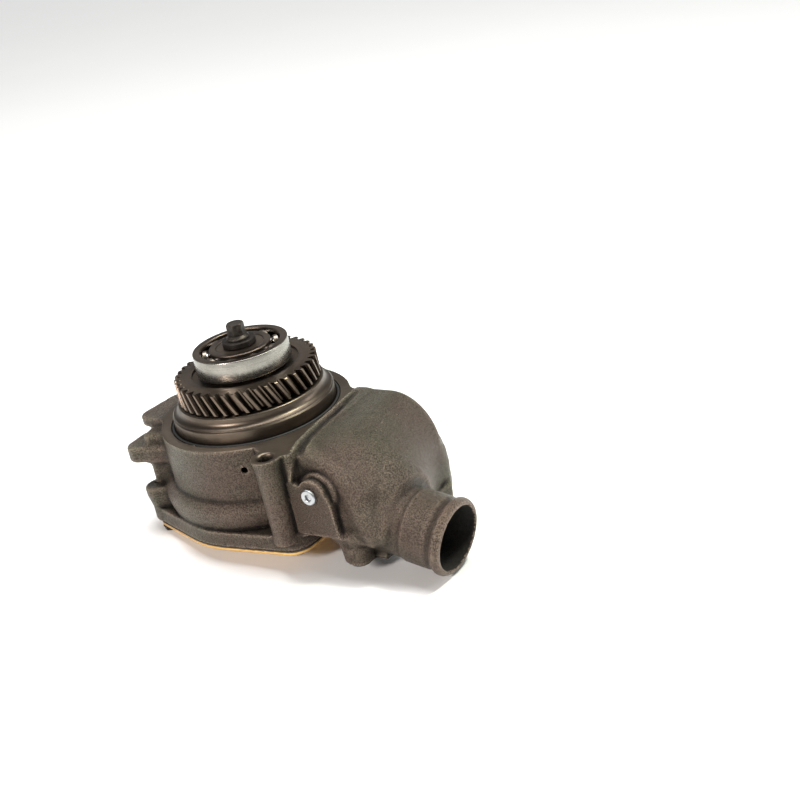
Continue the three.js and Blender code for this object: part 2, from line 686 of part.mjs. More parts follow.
function bearing(prefix, z) {
  const group = new THREE.Group();
  group.add(meshOf(bearingOuter(z), `${prefix}_bearing_outer_ring`, MAT.bearing));
  group.add(meshOf(bearingInner(z), `${prefix}_bearing_inner_ring`, MAT.bearing));
  group.add(meshOf(bearingCage(z), `${prefix}_bearing_cage`, MAT.brass));
  for (let i = 0; i < BRG.count; i += 1) {
    group.add(meshOf(bearingBall(z, i), `${prefix}_ball_${i + 1}`, MAT.bearing));
  }
  return group;
}

const pump = new THREE.Group();
pump.add(
  meshOf(housing(), "housing", MAT.iron),
  meshOf(rearCover(), "rear_cover", MAT.yellowZinc),
  meshOf(coverGasket(), "cover_gasket", MAT.paper),
  meshOf(portGasket(), "port_gasket", MAT.paper),
  meshOf(sidePlug(), "side_plug", MAT.zinc),
  meshOf(pilotRing(), "pilot_o_ring", MAT.rubber),
  meshOf(snapRing(), "bearing_snap_ring", MAT.black),
  meshOf(oilSeal(), "oil_seal", MAT.rubber),
  meshOf(sealSeat(), "seal_seat", MAT.ceramic),
  meshOf(sealFace(), "seal_face", MAT.carbon),
  meshOf(sealCup(), "seal_cup", MAT.zinc),
  meshOf(sealSpring(), "seal_spring", MAT.zinc),
  meshOf(shaft(), "shaft", MAT.machined),
  meshOf(impeller(), "impeller", MAT.iron),
  meshOf(driveGear(), "drive_gear", MAT.gear),
  meshOf(washer(), "shaft_washer", MAT.black),
  meshOf(shaftBolt(), "shaft_bolt", MAT.black),
  bearing("front", FRONT_BEARING_Z),
  bearing("rear", REAR_BEARING_Z),
);
COVER_BOLTS.forEach((place, i) => {
  pump.add(meshOf(coverBolt(place), `cover_bolt_${i + 1}`, MAT.black));
});

export default pump;
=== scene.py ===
"""The looks of an engine water pump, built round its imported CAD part.

Blender objects are in metres. The shape functions work in millimetres in the same frame: +Z along the shaft
from the rear cover to the gear, +X the way the hose pipe points, origin on the rear cover.
"""

import math

import bmesh
import bpy
import numpy as np
from mathutils import Matrix, Vector


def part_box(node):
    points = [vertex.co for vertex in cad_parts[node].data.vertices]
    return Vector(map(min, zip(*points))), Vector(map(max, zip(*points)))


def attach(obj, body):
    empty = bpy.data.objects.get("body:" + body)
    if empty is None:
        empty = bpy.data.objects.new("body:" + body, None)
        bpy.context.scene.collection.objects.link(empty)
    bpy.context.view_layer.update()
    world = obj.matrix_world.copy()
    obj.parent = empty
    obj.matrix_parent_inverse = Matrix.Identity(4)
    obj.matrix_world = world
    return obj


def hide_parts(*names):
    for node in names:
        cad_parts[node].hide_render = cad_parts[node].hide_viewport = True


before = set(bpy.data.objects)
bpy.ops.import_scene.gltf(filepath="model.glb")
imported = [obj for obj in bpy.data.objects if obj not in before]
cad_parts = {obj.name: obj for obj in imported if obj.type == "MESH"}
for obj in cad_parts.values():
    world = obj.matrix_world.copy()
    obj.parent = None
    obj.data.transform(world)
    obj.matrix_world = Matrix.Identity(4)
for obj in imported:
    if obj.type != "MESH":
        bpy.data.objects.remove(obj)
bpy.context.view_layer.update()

MM = 0.001


def span(node):
    """Lowest and highest corner of a CAD node, in millimetres."""
    low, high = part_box(node)
    return np.array(low) / MM, np.array(high) / MM


def heights(node):
    low, high = span(node)
    return low[2], high[2]


def middle(node):
    """Middle of a CAD node across the shaft's axis."""
    low, high = span(node)
    return (low[0] + high[0]) / 2, (low[1] + high[1]) / 2


# ---- places taken from the frame ------------------------------------------------------------------
HOUSING_LOW, HOUSING_HIGH = span("housing")
PILOT_HEIGHT = 19.8
PILOT_TOP = HOUSING_HIGH[2]
FACE = PILOT_TOP - PILOT_HEIGHT
PLUG_LOW, PLUG_HIGH = span("side_plug")
PLUG_HEAD_T = 3.4
PLUG = ((PLUG_LOW[0] + PLUG_HIGH[0]) / 2, PLUG_LOW[1] + PLUG_HEAD_T, (PLUG_LOW[2] + PLUG_HIGH[2]) / 2)
COVER_BOLTS = [f"cover_bolt_{i}" for i in range(1, 9)]
BOLT_PLACES = [middle(bolt) for bolt in COVER_BOLTS]

# ---- driving dimensions of the casting ------------------------------------------------------------
DRUM_R = 80.6
OVER = 6  # how far a shape runs past the face before the face is cut
PILOT_R = 68.3
GROOVE_R = 72.2
GROOVE_DEPTH = 2.9
FLANGE = (4.4, 17.5)
FLANGE_R = 86.3
CORNERS = ((66, -62, 17), (-72, -54, 12), (-60, 66, 13), (62, 64, 14))
CORNER_BOSS = (-79.5, -56.8, 11)

VOLUTE_START = -40
VOLUTE_R = 84
VOLUTE_GROWTH = 0.058
VOLUTE_SECTION = 12
VOLUTE_MID = 32.5

COLUMN = (103, -47.8)  # radius and azimuth
COLUMN_R = 9.2
COLUMN_FOOT = 17
COLUMN_TAPER = 0.016
COLUMN_HOLE_R = 6.5
WEEP = (-61.4, 70.3, 2.7)  # azimuth, height and radius
# Each lug is its outline's circles (x, y, radius), its lowest and highest z, and its edge radius.
EARS = (
    ([(-94.2, -25.5, 11), (-93, 5, 9), (-55, -15, 24)], 79, FACE - 0.6, 1.5),
    ([(-93.6, -51.9, 10.8), (-97, -36, 7.5), (-90, -20, 8), (-52, -25, 24)], 57, 71.5, 3),
    ([(-48.8, 91.8, 12), (-29.1, 54.7, 19.2)], 56, FACE, 2.4),
)
BUTTRESS = ([(-79.5, -50.5, 5), (-82, -30, 7), (-82, -5, 7), (-50, -20, 22)], 32, 82)
EAR_HOLE = (-48.8, 91.8, 5.3)

PIPE_TILT = 11.4
PIPE_MOUTH = (203, -32, 9)
PIPE_BORE_R = 26.2
PIPE_R = 29.6
BEAD_R = 31.4

PORT_X = 127
PORT_Z = -5.5
PORT_HALF = 19.5
PORT_Y = (-52, 47)
PORT_T = 13
PORT_WINDOWS = ((-46, -4), (3, 43))
PORT_WINDOW_HALF = 13.5
PORT_EARS = ((-60, 8), (61, 8.6))
EAR_HOLE_R = 4.5

VOXEL = 1.35


# ---- shape functions: distance in mm, negative inside ---------------------------------------------
def blend_in(a, b, k):
    """Union with a fillet of about k."""
    h = np.maximum(k - np.abs(a - b), 0) / k
    return np.minimum(a, b) - h * h * k / 4


def common(a, b, k):
    """What both hold, with its edge rounded by about k."""
    return -blend_in(-a, -b, k)


def carve(a, b):
    return np.maximum(a, -b)


def rounded_pair(a, b, r):
    """Two distances at right angles joined into one solid whose edges have radius r."""
    a, b = a + r, b + r
    return np.minimum(np.maximum(a, b), 0) + np.hypot(np.maximum(a, 0), np.maximum(b, 0)) - r


def slab(z, z0, z1):
    return np.abs(z - (z0 + z1) / 2) - (z1 - z0) / 2


def post(x, y, z, cx, cy, r, z0, z1, edge=1.0):
    return rounded_pair(np.hypot(x - cx, y - cy) - r, slab(z, z0, z1), edge)


def box(x, y, z, xs, ys, zs, edge=1.0):
    a, b, c = slab(x, *xs) + edge, slab(y, *ys) + edge, slab(z, *zs) + edge
    outside = np.sqrt(np.maximum(a, 0) ** 2 + np.maximum(b, 0) ** 2 + np.maximum(c, 0) ** 2)
    return outside + np.minimum(np.maximum(np.maximum(a, b), c), 0) - edge


def rod(x, y, z, a, b, r):
    """Round bar from a to b."""
    a, b = np.array(a, float), np.array(b, float)
    d = b - a
    t = np.clip(((x - a[0]) * d[0] + (y - a[1]) * d[1] + (z - a[2]) * d[2]) / (d @ d), 0, 1)
    return np.sqrt((x - a[0] - t * d[0]) ** 2 + (y - a[1] - t * d[1]) ** 2 + (z - a[2] - t * d[2]) ** 2) - r


def bent_rod(x, y, z, points, r):
    """Round bar through several points."""
    d = rod(x, y, z, points[0], points[1], r)
    for a, b in zip(points[1:], points[2:]):
        d = np.minimum(d, rod(x, y, z, a, b, r))
    return d


class Outline:
    """Distance to a closed outline, looked up on a fine grid."""

    def __init__(self, points, step=0.5, margin=12):
        points = np.array(points, float)
        self.low, self.step = points.min(0) - margin, step
        count = np.ceil((points.max(0) + margin - self.low) / step).astype(int) + 1
        u, v = np.meshgrid(*[self.low[i] + step * np.arange(count[i]) for i in range(2)], indexing="ij")
        nearest, inside = np.full(u.shape, np.inf), np.zeros(u.shape, bool)
        for (au, av), (bu, bv) in zip(points, np.roll(points, -1, 0)):
            eu, ev = bu - au, bv - av
            t = np.clip(((u - au) * eu + (v - av) * ev) / (eu * eu + ev * ev), 0, 1)
            nearest = np.minimum(nearest, (u - au - t * eu) ** 2 + (v - av - t * ev) ** 2)
            if av != bv:
                inside ^= ((av > v) != (bv > v)) & (u < eu * (v - av) / ev + au)
        self.grid = (np.where(inside, -1, 1) * np.sqrt(nearest)).astype(np.float32)

    def __call__(self, u, v):
        i = np.clip((u - self.low[0]) / self.step, 0, self.grid.shape[0] - 1.001)
        j = np.clip((v - self.low[1]) / self.step, 0, self.grid.shape[1] - 1.001)
        i0, j0 = i.astype(int), j.astype(int)
        fi, fj = i - i0, j - j0
        g = self.grid
        near = g[i0, j0] * (1 - fi) + g[i0 + 1, j0] * fi
        far = g[i0, j0 + 1] * (1 - fi) + g[i0 + 1, j0 + 1] * fi
        return near * (1 - fj) + far * fj


def arc(cx, cy, rx, ry, start, end, steps):
    """Points on an ellipse from one angle to another, in degrees."""
    angles = np.radians(np.linspace(start, end, steps))
    return [(cx + rx * math.cos(a), cy + ry * math.sin(a)) for a in angles]


def hull_outline(circles, step=4):
    """Smallest outline round a set of circles."""
    points = []
    for deg in range(0, 360, step):
        c, s = math.cos(math.radians(deg)), math.sin(math.radians(deg))
        x, y, r = max(circles, key=lambda k: k[0] * c + k[1] * s + k[2])
        points.append((x + r * c, y + r * s))
    return points


def polar(r, deg):
    return r * math.cos(math.radians(deg)), r * math.sin(math.radians(deg))


def port_points(grow=0.0):
    """Outline of the port flange: a rectangle with a round ear at each end."""
    half = PORT_HALF + grow
    (near_y, near_r), (far_y, far_r) = PORT_EARS
    near_r, far_r = near_r + grow, far_r + grow
    y0, y1 = PORT_Y[0] - grow, PORT_Y[1] + grow
    return [
        (PORT_X - half, y0), (PORT_X - near_r, y0), *arc(PORT_X, near_y, near_r, near_r, 180, 360, 13),
        (PORT_X + near_r, y0), (PORT_X + half, y0), (PORT_X + half, y1), (PORT_X + far_r, y1),
        *arc(PORT_X, far_y, far_r, far_r, 0, 180, 13), (PORT_X - far_r, y1), (PORT_X - half, y1),
    ]


# ---- outlines of the casting ----------------------------------------------------------------------
HOOD_FAR = Outline([
    (50, -60), (139, -60), (141, PORT_Z), (146.5, 15.5), *arc(108, 45, 40, 46, 0, 90, 24), (94, 91), (50, 90),
])
HOOD_NEAR = Outline([
    (50, -60), (139, -60), (141, PORT_Z), (152, 1), (162, 7), *arc(108, 24, 63, 67.5, -8, 90, 24), (94, 91),
    (50, 90),
])
HOOD_CREST = Outline([
    (50, -60), (128, -60), (130, PORT_Z), (134, 10), (136, 27), (134.5, 39), (131.5, 50), (125, 61),
    (117.5, 69.5), (108, 76), (98.5, 82.5), (92.8, 87.5), (87, 90), (50, 90),
])
HOOD_END = Outline([
    (48.5, -60), (48.5, 140), (-58, 140), (-61, 75), (-62.5, 52), (-65, 36), (-66, 22), (-65, 16), (-61, 9),
    (-55, 1.5), (-46, PORT_Z), (-40, -60),
])
PLATFORM = Outline([
    (30, -56), (30, 46), (82, 46), *arc(80, 38, 8.5, 8, 80, 0, 5), (88.5, 0), (88, -48), (87.2, -64),
    *arc(82.5, -66, 4.5, 4.6, 0, -90, 5), (60, -69.5),
])
FLANGE_OUTLINE = Outline(hull_outline([(0, 0, FLANGE_R), *CORNERS]))
PORT_OUTLINE = Outline(port_points())
PAD = Outline([
    (80, 19), (121, 19), (118.5, 48), *arc(PLUG[0] + 1, PLUG[2], 13, 13, 5, 150, 16), (84, 66), (80, 64),
])
NEAR_EAR = Outline(hull_outline([(119.6, -60.4, 6), (126.6, -59.8, 6.8)], 12))
FAR_EAR = Outline(hull_outline([(126.5, 60.5, 8.6), (138, 50, 7), (118, 40, 8)], 12))
SHOULDER = [
    (97, -54.5, 80), (104.2, -54.3, 76.5), (111, -53.6, 73.6), (116.8, -53.8, 69.4), (124.1, -54.2, 62.2),
    (131, -54.8, 52.5), (135.7, -56.7, 40), (140.6, -58.8, 29.9), (144.2, -59.7, 21),
]
SHOULDER_R = 8.2
RIDGE = [
    (72.6, 42, FACE - 1), (74.6, 29, FACE + 0.4), (75.8, 18, FACE + 0.8), (77.8, -3, FACE + 0.8),
    (79.6, -23, FACE + 0.8), (81, -37, FACE + 0.7), (83.6, -52, FACE + 0.4), (85.2, -60.5, FACE - 0.8),
    (85.2, -64.6, FACE - 5.2), (85, -69.2, FACE - 13), (84.6, -71.6, FACE - 20.5),
]
RIDGE_R = 1.5
RIDGE_VALLEY = [
    (79.5, 34, FACE + 7.2), (79.9, 22, FACE + 5.8), (81, 10, FACE + 4.6), (82.6, -3, FACE + 4),
    (84.6, -23, FACE + 4), (86, -37, FACE + 4), (88.6, -52, FACE + 3.4), (91, -61, FACE + 1),
]
VALLEY_R = 4.2
SEAM = [(112, -65.4, 20.5), (146, -64.6, 13.5)]
SEAM_R = 1.3
FACE_ZONE = Outline([
    (-150, -150), (84.6, -150), (84.6, -60), (83, -52), (80.6, -37), (79.2, -23), (77.4, -3), (75.4, 18),
    (74.2, 29), (73, 40), (74, 46), (60, 62), (60, 150), (-150, 150),
], step=1.0)
LUG_SHAPES = [(Outline(hull_outline(circles, 12), 1.0), rest) for circles, *rest in EARS]
LUG_SHAPES.append((Outline(hull_outline(BUTTRESS[0], 12), 1.0), (*BUTTRESS[1:], 4)))
CORNER_OUTLINE = Outline(hull_outline([CORNER_BOSS, (-60, -46, 12)], 12), 1.0)
PILOT = Outline([
    (25, FACE - 10), (PILOT_R, FACE - 10), (PILOT_R, FACE + 9.5), (PILOT_R - 1.7, FACE + 10.7),
    (65.6, FACE + 10.9), *arc(66.2, FACE + 15.8, 4.6, 4.9, 262, 182, 8), (61.6, PILOT_TOP - 0.8),
    (60.8, PILOT_TOP), (25, PILOT_TOP),
], step=0.25, margin=8)


def volute_reach(x, y):
    """Radius of the volute's outside at each point's azimuth."""
    turn = np.mod(VOLUTE_START - np.degrees(np.arctan2(y, x)), 360)
    return VOLUTE_R + VOLUTE_GROWTH * turn


def along_pipe(x, y, z):
    """Distance out from the pipe's axis, and distance back from its mouth."""
    tilt = math.radians(PIPE_TILT)
    dx, dy, dz = x - PIPE_MOUTH[0], y - PIPE_MOUTH[1], z - PIPE_MOUTH[2]
    back = -dx * math.cos(tilt) + dz * math.sin(tilt)
    rise = dx * math.sin(tilt) + dz * math.cos(tilt)
    return np.hypot(dy, rise), back


PIPE_END = Outline([
    (0, 0), (28.2, 0), (29.9, 0.7), *arc(BEAD_R - 3.6, 5, 3.6, 4.6, -50, 60, 10), (PIPE_R - 0.7, 11),
    (PIPE_R - 0.9, 12.5), (PIPE_R, 15.5), (PIPE_R, 35), (PIPE_R - 1.4, 38), (PIPE_R - 1.4, 70), (0, 70),
], step=0.25)


def hood(x, y, z):
    far = np.clip((y + 28) / 70, 0, 1)
    far = far * far * (3 - 2 * far)
    near = np.clip((-18 - y) / 46, 0, 1)
    high = np.clip((z - 8) / 42, 0, 1)
    near = near ** 2.0 * high * high * (3 - 2 * high)
    side = HOOD_NEAR(x, z) * (1 - far - near) + HOOD_FAR(x, z) * far + (HOOD_CREST(x, z) - 1) * near
    body = common(side, HOOD_END(y, z), 18 - 12 * high)
    clear = box(x, y, z, (30, 102), (-110, -4), (-20, FLANGE[1] + 1), 3)
    return common(body, -clear, 4)


def outside_of_casting(x, y, z):
    r = np.hypot(x, y)
    d = post(x, y, z, 0, 0, DRUM_R, 38, FACE + OVER, 1)
    d = np.minimum(d, post(x, y, z, 0, 0, DRUM_R - 7, 10, 44, 1))
    d = np.minimum(d, rounded_pair(PLATFORM(x, y), slab(z, FLANGE[1] - 2, FACE + OVER), 1))
    rise = np.where(z > VOLUTE_MID, z - VOLUTE_MID, (VOLUTE_MID - z) * 0.6)
    section = np.hypot(r - volute_reach(x, y) + VOLUTE_SECTION, rise) - VOLUTE_SECTION
    d = np.maximum(blend_in(d, np.maximum(section, FLANGE[0] + 3 - z), 1.5), z - FACE)
    flange = rounded_pair(FLANGE_OUTLINE(x, y), slab(z, *FLANGE), 1.2)
    d = blend_in(d, flange, 3)
    d = blend_in(d, box(x, y, z, (50, 110), (0, 50), (FLANGE[0], 60), 8), 8)
    d = blend_in(d, hood(x, y, z), 6)
    return d


def lugs(x, y, z, d):
    cx, cy = polar(*COLUMN)
    flare = np.clip((z - FACE + 14) / 14, 0, 1) ** 2 * 1.8
    reach = COLUMN_R + (z - COLUMN_FOOT) * COLUMN_TAPER + flare
    column = rounded_pair(np.hypot(x - cx, y - cy) - reach, slab(z, 12, FACE + OVER), 1)
    d = blend_in(d, column, 5)
    for shape, (z0, z1, edge) in LUG_SHAPES:
        d = blend_in(d, rounded_pair(shape(x, y), slab(z, z0, z1), edge), 6)
    narrow = np.clip((FLANGE[1] + 12 - z) / 12, 0, 1) * 2.5
    corner = rounded_pair(CORNER_OUTLINE(x, y) + narrow, slab(z, FLANGE[0], 37), 2.6)
    return blend_in(d, corner, 3)


def side_wall(x, y, z, d):
    """The plug's pad with its double step, the ridge beside the face, and the seam under the hood."""
    px, py, pz = PLUG
    d = blend_in(d, bent_rod(x, y, z, SHOULDER, SHOULDER_R), 5)
    pad = rounded_pair(PAD(x, z), slab(y, py, py + 26), 1.3)
    boss = rounded_pair(np.hypot(x - px - 3, z - pz) - 16.5, slab(y, py + 6, py + 26), 2)
    d = blend_in(d, common(boss, 78 - x, 2), 3)
    d = blend_in(d, pad, 1.6)
    d = common(d, -bent_rod(x, y, z, RIDGE_VALLEY, VALLEY_R), 3)
    d = blend_in(d, bent_rod(x, y, z, RIDGE, RIDGE_R), 3)
    return blend_in(d, rod(x, y, z, *SEAM, SEAM_R), 4)


def pipe(x, y, z, d):
    """Hose pipe, with a hollow round its root."""
    out, back = along_pipe(x, y, z)
    d = common(d, 4.5 - np.hypot(out - PIPE_R - 3, back - 41), 5)
    return blend_in(d, PIPE_END(out, back), 1.6)


def ports(x, y, z, d):
    flange = rounded_pair(PORT_OUTLINE(x, y), slab(z, PORT_Z - 2, PORT_Z + PORT_T), 1.2)
    d = blend_in(d, flange, 3)
    rise = z - PORT_Z
    near = rounded_pair(NEAR_EAR(x, y) - rise * 0.11, slab(z, PORT_Z - 2, PORT_Z + 27), 3)
    far = rounded_pair(FAR_EAR(x, y) + np.abs(rise - 30) * 0.08 - 1.5, slab(z, PORT_Z - 2, PORT_Z + 50), 7)
    return blend_in(blend_in(d, near, 7), far, 9)


def passages(x, y, z, d):
    """Water passages, bores and holes, cut last."""
    r = np.hypot(x, y)
    inner, outer = 109, 136
    (near0, near1), (far0, far1) = PORT_WINDOWS
    window = slab(x, PORT_X - PORT_WINDOW_HALF, PORT_X + PORT_WINDOW_HALF)
    chamber = np.minimum.reduce([
        box(x, y, z, (inner, outer), (near0, near1), (0, 50), 4),
        box(x, y, z, (inner, 124), (near0 + 16, far1 - 4), (44, FACE - 17), 4),
        box(x, y, z, (66, inner + 2), (-36, 30), (54, FACE - 9), 3),
        box(x, y, z, (inner, outer), (far0, far1 - 2), (0, 42), 4),
        box(x, y, z, (52, inner + 2), (10, 42), (14, 38), 3),
        rounded_pair(np.maximum(window, slab(y, near0, near1)), slab(z, PORT_Z - 5, 20), 0.1),
        rounded_pair(np.maximum(window, slab(y, far0, far1)), slab(z, PORT_Z - 5, 20), 0.1),
    ])
    d = carve(d, chamber)
    out, back = along_pipe(x, y, z)
    d = carve(d, np.maximum(out - PIPE_BORE_R + np.clip(1.2 - back, 0, 2) * -0.8, slab(back, -4, 70)))
    volute = np.maximum(r - volute_reach(x, y) + 7.5, slab(z, 16, 38))
    d = carve(d, volute)
    for radius, z0, z1 in ((54.5, -2, 38), (20.3, 34, 56.3), (17, 40, 100), (31, 74, 83), (30, 82, 90),
                           (40.3, FACE - 2, PILOT_TOP + 4)):
        d = carve(d, np.maximum(r - radius, slab(z, z0, z1)))
    return d


def drilled(x, y, z, d):
    cx, cy = polar(*COLUMN)
    hole = np.hypot(x - cx, y - cy)
    bevel = np.clip(z - FACE + 1.3, 0, 2)
    d = carve(d, np.maximum(hole - COLUMN_HOLE_R - bevel, slab(z, FACE - 34, FACE + 5)))
    ex, ey, hole_r = EAR_HOLE
    d = carve(d, np.maximum(np.hypot(x - ex, y - ey) - hole_r, slab(z, FACE - 24, FACE + 3)))
    azimuth, height, radius = WEEP
    ux, uy = polar(1, azimuth)
    along = x * ux + y * uy
    d = carve(d, np.maximum(np.hypot(x * uy - y * ux, z - height) - radius, slab(along, 60, 96)))
    d = carve(d, post(x, y, z, -80, -55, 2.6, 27, 37, 0.2))
    px, py, pz = PLUG
    d = carve(d, np.maximum(np.hypot(x - px, z - pz) - 5.3, slab(y, py - 2, py + 10)))
    for y0, _ in PORT_EARS:
        d = carve(d, post(x, y, z, PORT_X, y0, EAR_HOLE_R, PORT_Z - 4, PORT_Z + 19, 0.1))
    for bx, by in BOLT_PLACES:
        d = carve(d, np.maximum(np.hypot(x - bx, y - by) - 3.3, slab(z, 0, 14.5)))
    return d


def casting(x, y, z):
    r = np.hypot(x, y)
    d = outside_of_casting(x, y, z)
    d = lugs(x, y, z, d)
    d = side_wall(x, y, z, d)
    d = pipe(x, y, z, d)
    d = ports(x, y, z, d)
    below_port = np.maximum(np.maximum(z - PORT_Z, 80 - x), x - PORT_X - PORT_HALF - 1)
    for cut in (
        np.maximum(FACE - z, FACE_ZONE(x, y)),
        below_port,
        np.maximum(z - FLANGE[0], x - 87.3),
        np.maximum(r - GROOVE_R, FACE - GROOVE_DEPTH - z),
    ):
        d = carve(d, cut)
    d = np.minimum(d, PILOT(r, z))
    d = passages(x, y, z, d)
    return drilled(x, y, z, d)


# ---- from a shape function to a mesh ----------------------------------------------------------------
def sampled(field, low, count, step, block=6):
    """The field on a grid: roughly block by block, then exactly wherever the surface may pass."""
    blocks = -(-count // block)
    centres = [low[i] + step * (block * np.arange(blocks[i]) + (block - 1) / 2) for i in range(3)]
    cx, cy, cz = [c.ravel().astype(np.float32) for c in np.meshgrid(*centres, indexing="ij")]
    rough = field(cx, cy, cz).reshape(blocks)
    for axis in range(3):
        rough = np.repeat(rough, block, axis)
    value = np.ascontiguousarray(rough[: count[0], : count[1], : count[2]]).astype(np.float32)
    place = np.nonzero(np.abs(value) < step * block * 1.2 + 3)
    points = [(low[i] + step * place[i]).astype(np.float32) for i in range(3)]
    value[place] = field(*points)
    return value


def contour(field, low, high, step):
    """Quads of the field's zero surface by dual contouring, which keeps sharp machined edges."""
    low, high = np.array(low, float), np.array(high, float)
    count = np.ceil((high - low) / step).astype(int) + 1
    value = sampled(field, low, count, step)
    inside = value < 0
    strides = (count[1] * count[2], count[2], 1)
    cells, planes = [], []
    for axis in range(3):
        head = [slice(None)] * 3
        tail = [slice(None)] * 3
        head[axis], tail[axis] = slice(None, -1), slice(1, None)
        crossing = np.nonzero(inside[tuple(head)] != inside[tuple(tail)])
        start = value[crossing]
        nxt = [c + (1 if i == axis else 0) for i, c in enumerate(crossing)]
        end = value[tuple(nxt)]
        point = np.stack([low[i] + step * crossing[i] for i in range(3)], 1)
        point[:, axis] += step * start / (start - end)
        flat = crossing[0] * strides[0] + crossing[1] * strides[1] + crossing[2]
        u, v = strides[(axis + 1) % 3], strides[(axis + 2) % 3]
        quad = np.stack([flat - u - v, flat - v, flat, flat - u], 1)
        flip = start > 0
        quad[flip] = quad[flip][:, ::-1]
        cells.append(quad)
        planes.append(point)
    quads, points = np.concatenate(cells), np.concatenate(planes)
    normals, points = on_surface(field, points, step * 0.3)
    ids, quads = np.unique(quads, return_inverse=True)
    quads = quads.reshape(-1, 4)
    return settled(ids, quads, points, normals, low, strides, step), quads


def on_surface(field, points, reach):
    """Unit normals at points near the surface, and the points moved onto it."""
    corners = np.array([(1, 1, 1), (1, -1, -1), (-1, 1, -1), (-1, -1, 1)], float) * reach
    gradient, mean = np.zeros_like(points), np.zeros(len(points))
    for corner in corners:
        value = field(*(points + corner).astype(np.float32).T)
        gradient += value[:, None] * corner / (4 * reach * reach)
        mean += value / 4
    length = np.maximum(np.linalg.norm(gradient, axis=1), 1e-6)
    normals = gradient / length[:, None]
    shift = np.clip(mean / length, -reach, reach)
    return normals, points - normals * shift[:, None]


def settled(ids, quads, points, normals, low, strides, step):
    """Each cell's vertex, where the tangent planes of its crossings come closest to meeting."""
    owner = quads.ravel()
    n, p = np.repeat(normals, 4, 0), np.repeat(points, 4, 0)
    total = lambda w: np.bincount(owner, w, len(ids))
    number = total(np.ones(len(owner)))
    middle = np.stack([total(p[:, i]) for i in range(3)], 1) / number[:, None]
    off = ((p - middle[owner]) * n).sum(1)
    matrix = np.empty((len(ids), 3, 3))
    for i in range(3):
        for j in range(3):
            matrix[:, i, j] = total(n[:, i] * n[:, j])
    matrix += np.eye(3) * 0.06
    right = np.stack([total(n[:, i] * off) for i in range(3)], 1)
    move = np.linalg.solve(matrix, right[:, :, None])[:, :, 0]
    i, rest = ids // strides[0], ids % strides[0]
    corner = low + step * np.stack([i, rest // strides[1], rest % strides[1]], 1)
    return np.clip(middle + move, corner - 0.05 * step, corner + 1.05 * step)


def mesh_object(name, vertices, faces, materials, body, node=None, face_material=None, sharp=30):
    """A piece from arrays in millimetres, smooth but for edges over the sharp angle."""
    mesh = bpy.data.meshes.new(name)
    vertices = np.asarray(vertices, float) * MM
    mesh.vertices.add(len(vertices))
    mesh.vertices.foreach_set("co", vertices.astype(np.float32).ravel())
    mesh.loops.add(faces.size)
    mesh.loops.foreach_set("vertex_index", faces.astype(np.int32).ravel())
    mesh.polygons.add(len(faces))
    mesh.polygons.foreach_set("loop_start", np.arange(len(faces), dtype=np.int32) * faces.shape[1])
    mesh.update(calc_edges=True)
    for material in materials:
        mesh.materials.append(material)
    if face_material is not None:
        mesh.polygons.foreach_set("material_index", np.asarray(face_material, np.int32))
    placed(name, mesh, body, node, sharp)


def mesh_from(bm, name, material):
    """A mesh in metres from a bmesh in millimetres."""
    bmesh.ops.scale(bm, vec=(MM, MM, MM), verts=bm.verts[:])
    mesh = bpy.data.meshes.new(name)
    bm.to_mesh(mesh)
    bm.free()
    mesh.materials.append(material)
    return mesh


def placed(name, mesh, body, node, sharp):
    """The mesh as a piece that rides on a CAD body, and replaces the CAD node if there is one to replace."""
    mesh.polygons.foreach_set("use_smooth", np.ones(len(mesh.polygons), bool))
    mesh.set_sharp_from_angle(angle=math.radians(sharp))
    mesh.update()
    piece = bpy.data.objects.new(name, mesh)
    bpy.context.scene.collection.objects.link(piece)
    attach(piece, body)
    if node:
        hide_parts(node)


# ---- turned and extruded shapes ---------------------------------------------------------------------
def ring_strip(rings):
    """Vertices and outward quads that join rings of equal count in order, and the last to the first."""
    count = len(rings[0])
    vertices = np.concatenate([np.asarray(r, float) for r in rings])
    faces = []
    for a in range(len(rings)):
        b = (a + 1) % len(rings)
        i = np.arange(count)
        j = (i + 1) % count
        faces.append(np.stack([a * count + i, a * count + j, b * count + j, b * count + i], 1))
    faces = np.concatenate(faces)
    a, b, c, d = [vertices[faces[:, i]] for i in range(4)]
    volume = (np.cross(b - a, c - a) * a).sum() + (np.cross(c - a, d - a) * a).sum()
    return vertices, faces if volume > 0 else faces[:, ::-1]


def turned(profile, segments=160):
    """Ring of a closed profile of (radius, z) turned about Z; no point lies on the axis."""
    angle = np.linspace(0, 2 * math.pi, segments, endpoint=False)
    rings = [np.stack([r * np.cos(angle), r * np.sin(angle), np.full(segments, z)], 1) for r, z in profile]
    return ring_strip(rings)


def eased(points, size=0.4, steps=3):
    """A closed outline with its corners rounded."""
    points = [np.array(p, float) for p in points]
    soft = []
    for before, here, after in zip(points[-1:] + points[:-1], points, points[1:] + points[:1]):
        to_before, to_after = before - here, after - here
        lengths = np.linalg.norm(to_before), np.linalg.norm(to_after)
        cut = min(size, 0.45 * lengths[0], 0.45 * lengths[1])
        start, end = here + to_before / lengths[0] * cut, here + to_after / lengths[1] * cut
        for t in np.linspace(0, 1, steps + 1):
            soft.append((1 - t) ** 2 * start + 2 * t * (1 - t) * here + t * t * end)
    return soft


def lathe(name, profile, material, body, node=None, edge=0.4, sharp=40, ends=None, within=0.0):
    """Turned piece; ends is the material of faces across the axis and of those inside the radius within."""
    vertices, faces = turned(eased(profile, edge))
    materials, flat = [material], None
    if ends:
        materials.append(ends)
        corners = vertices[faces]
        reach = np.hypot(corners[:, :, 0], corners[:, :, 1])
        flat = (np.ptp(corners[:, :, 2], axis=1) < 0.3 * np.ptp(reach, axis=1)) | (reach.max(axis=1) < within)
    mesh_object(name, vertices, faces, materials, body, node, flat, sharp)


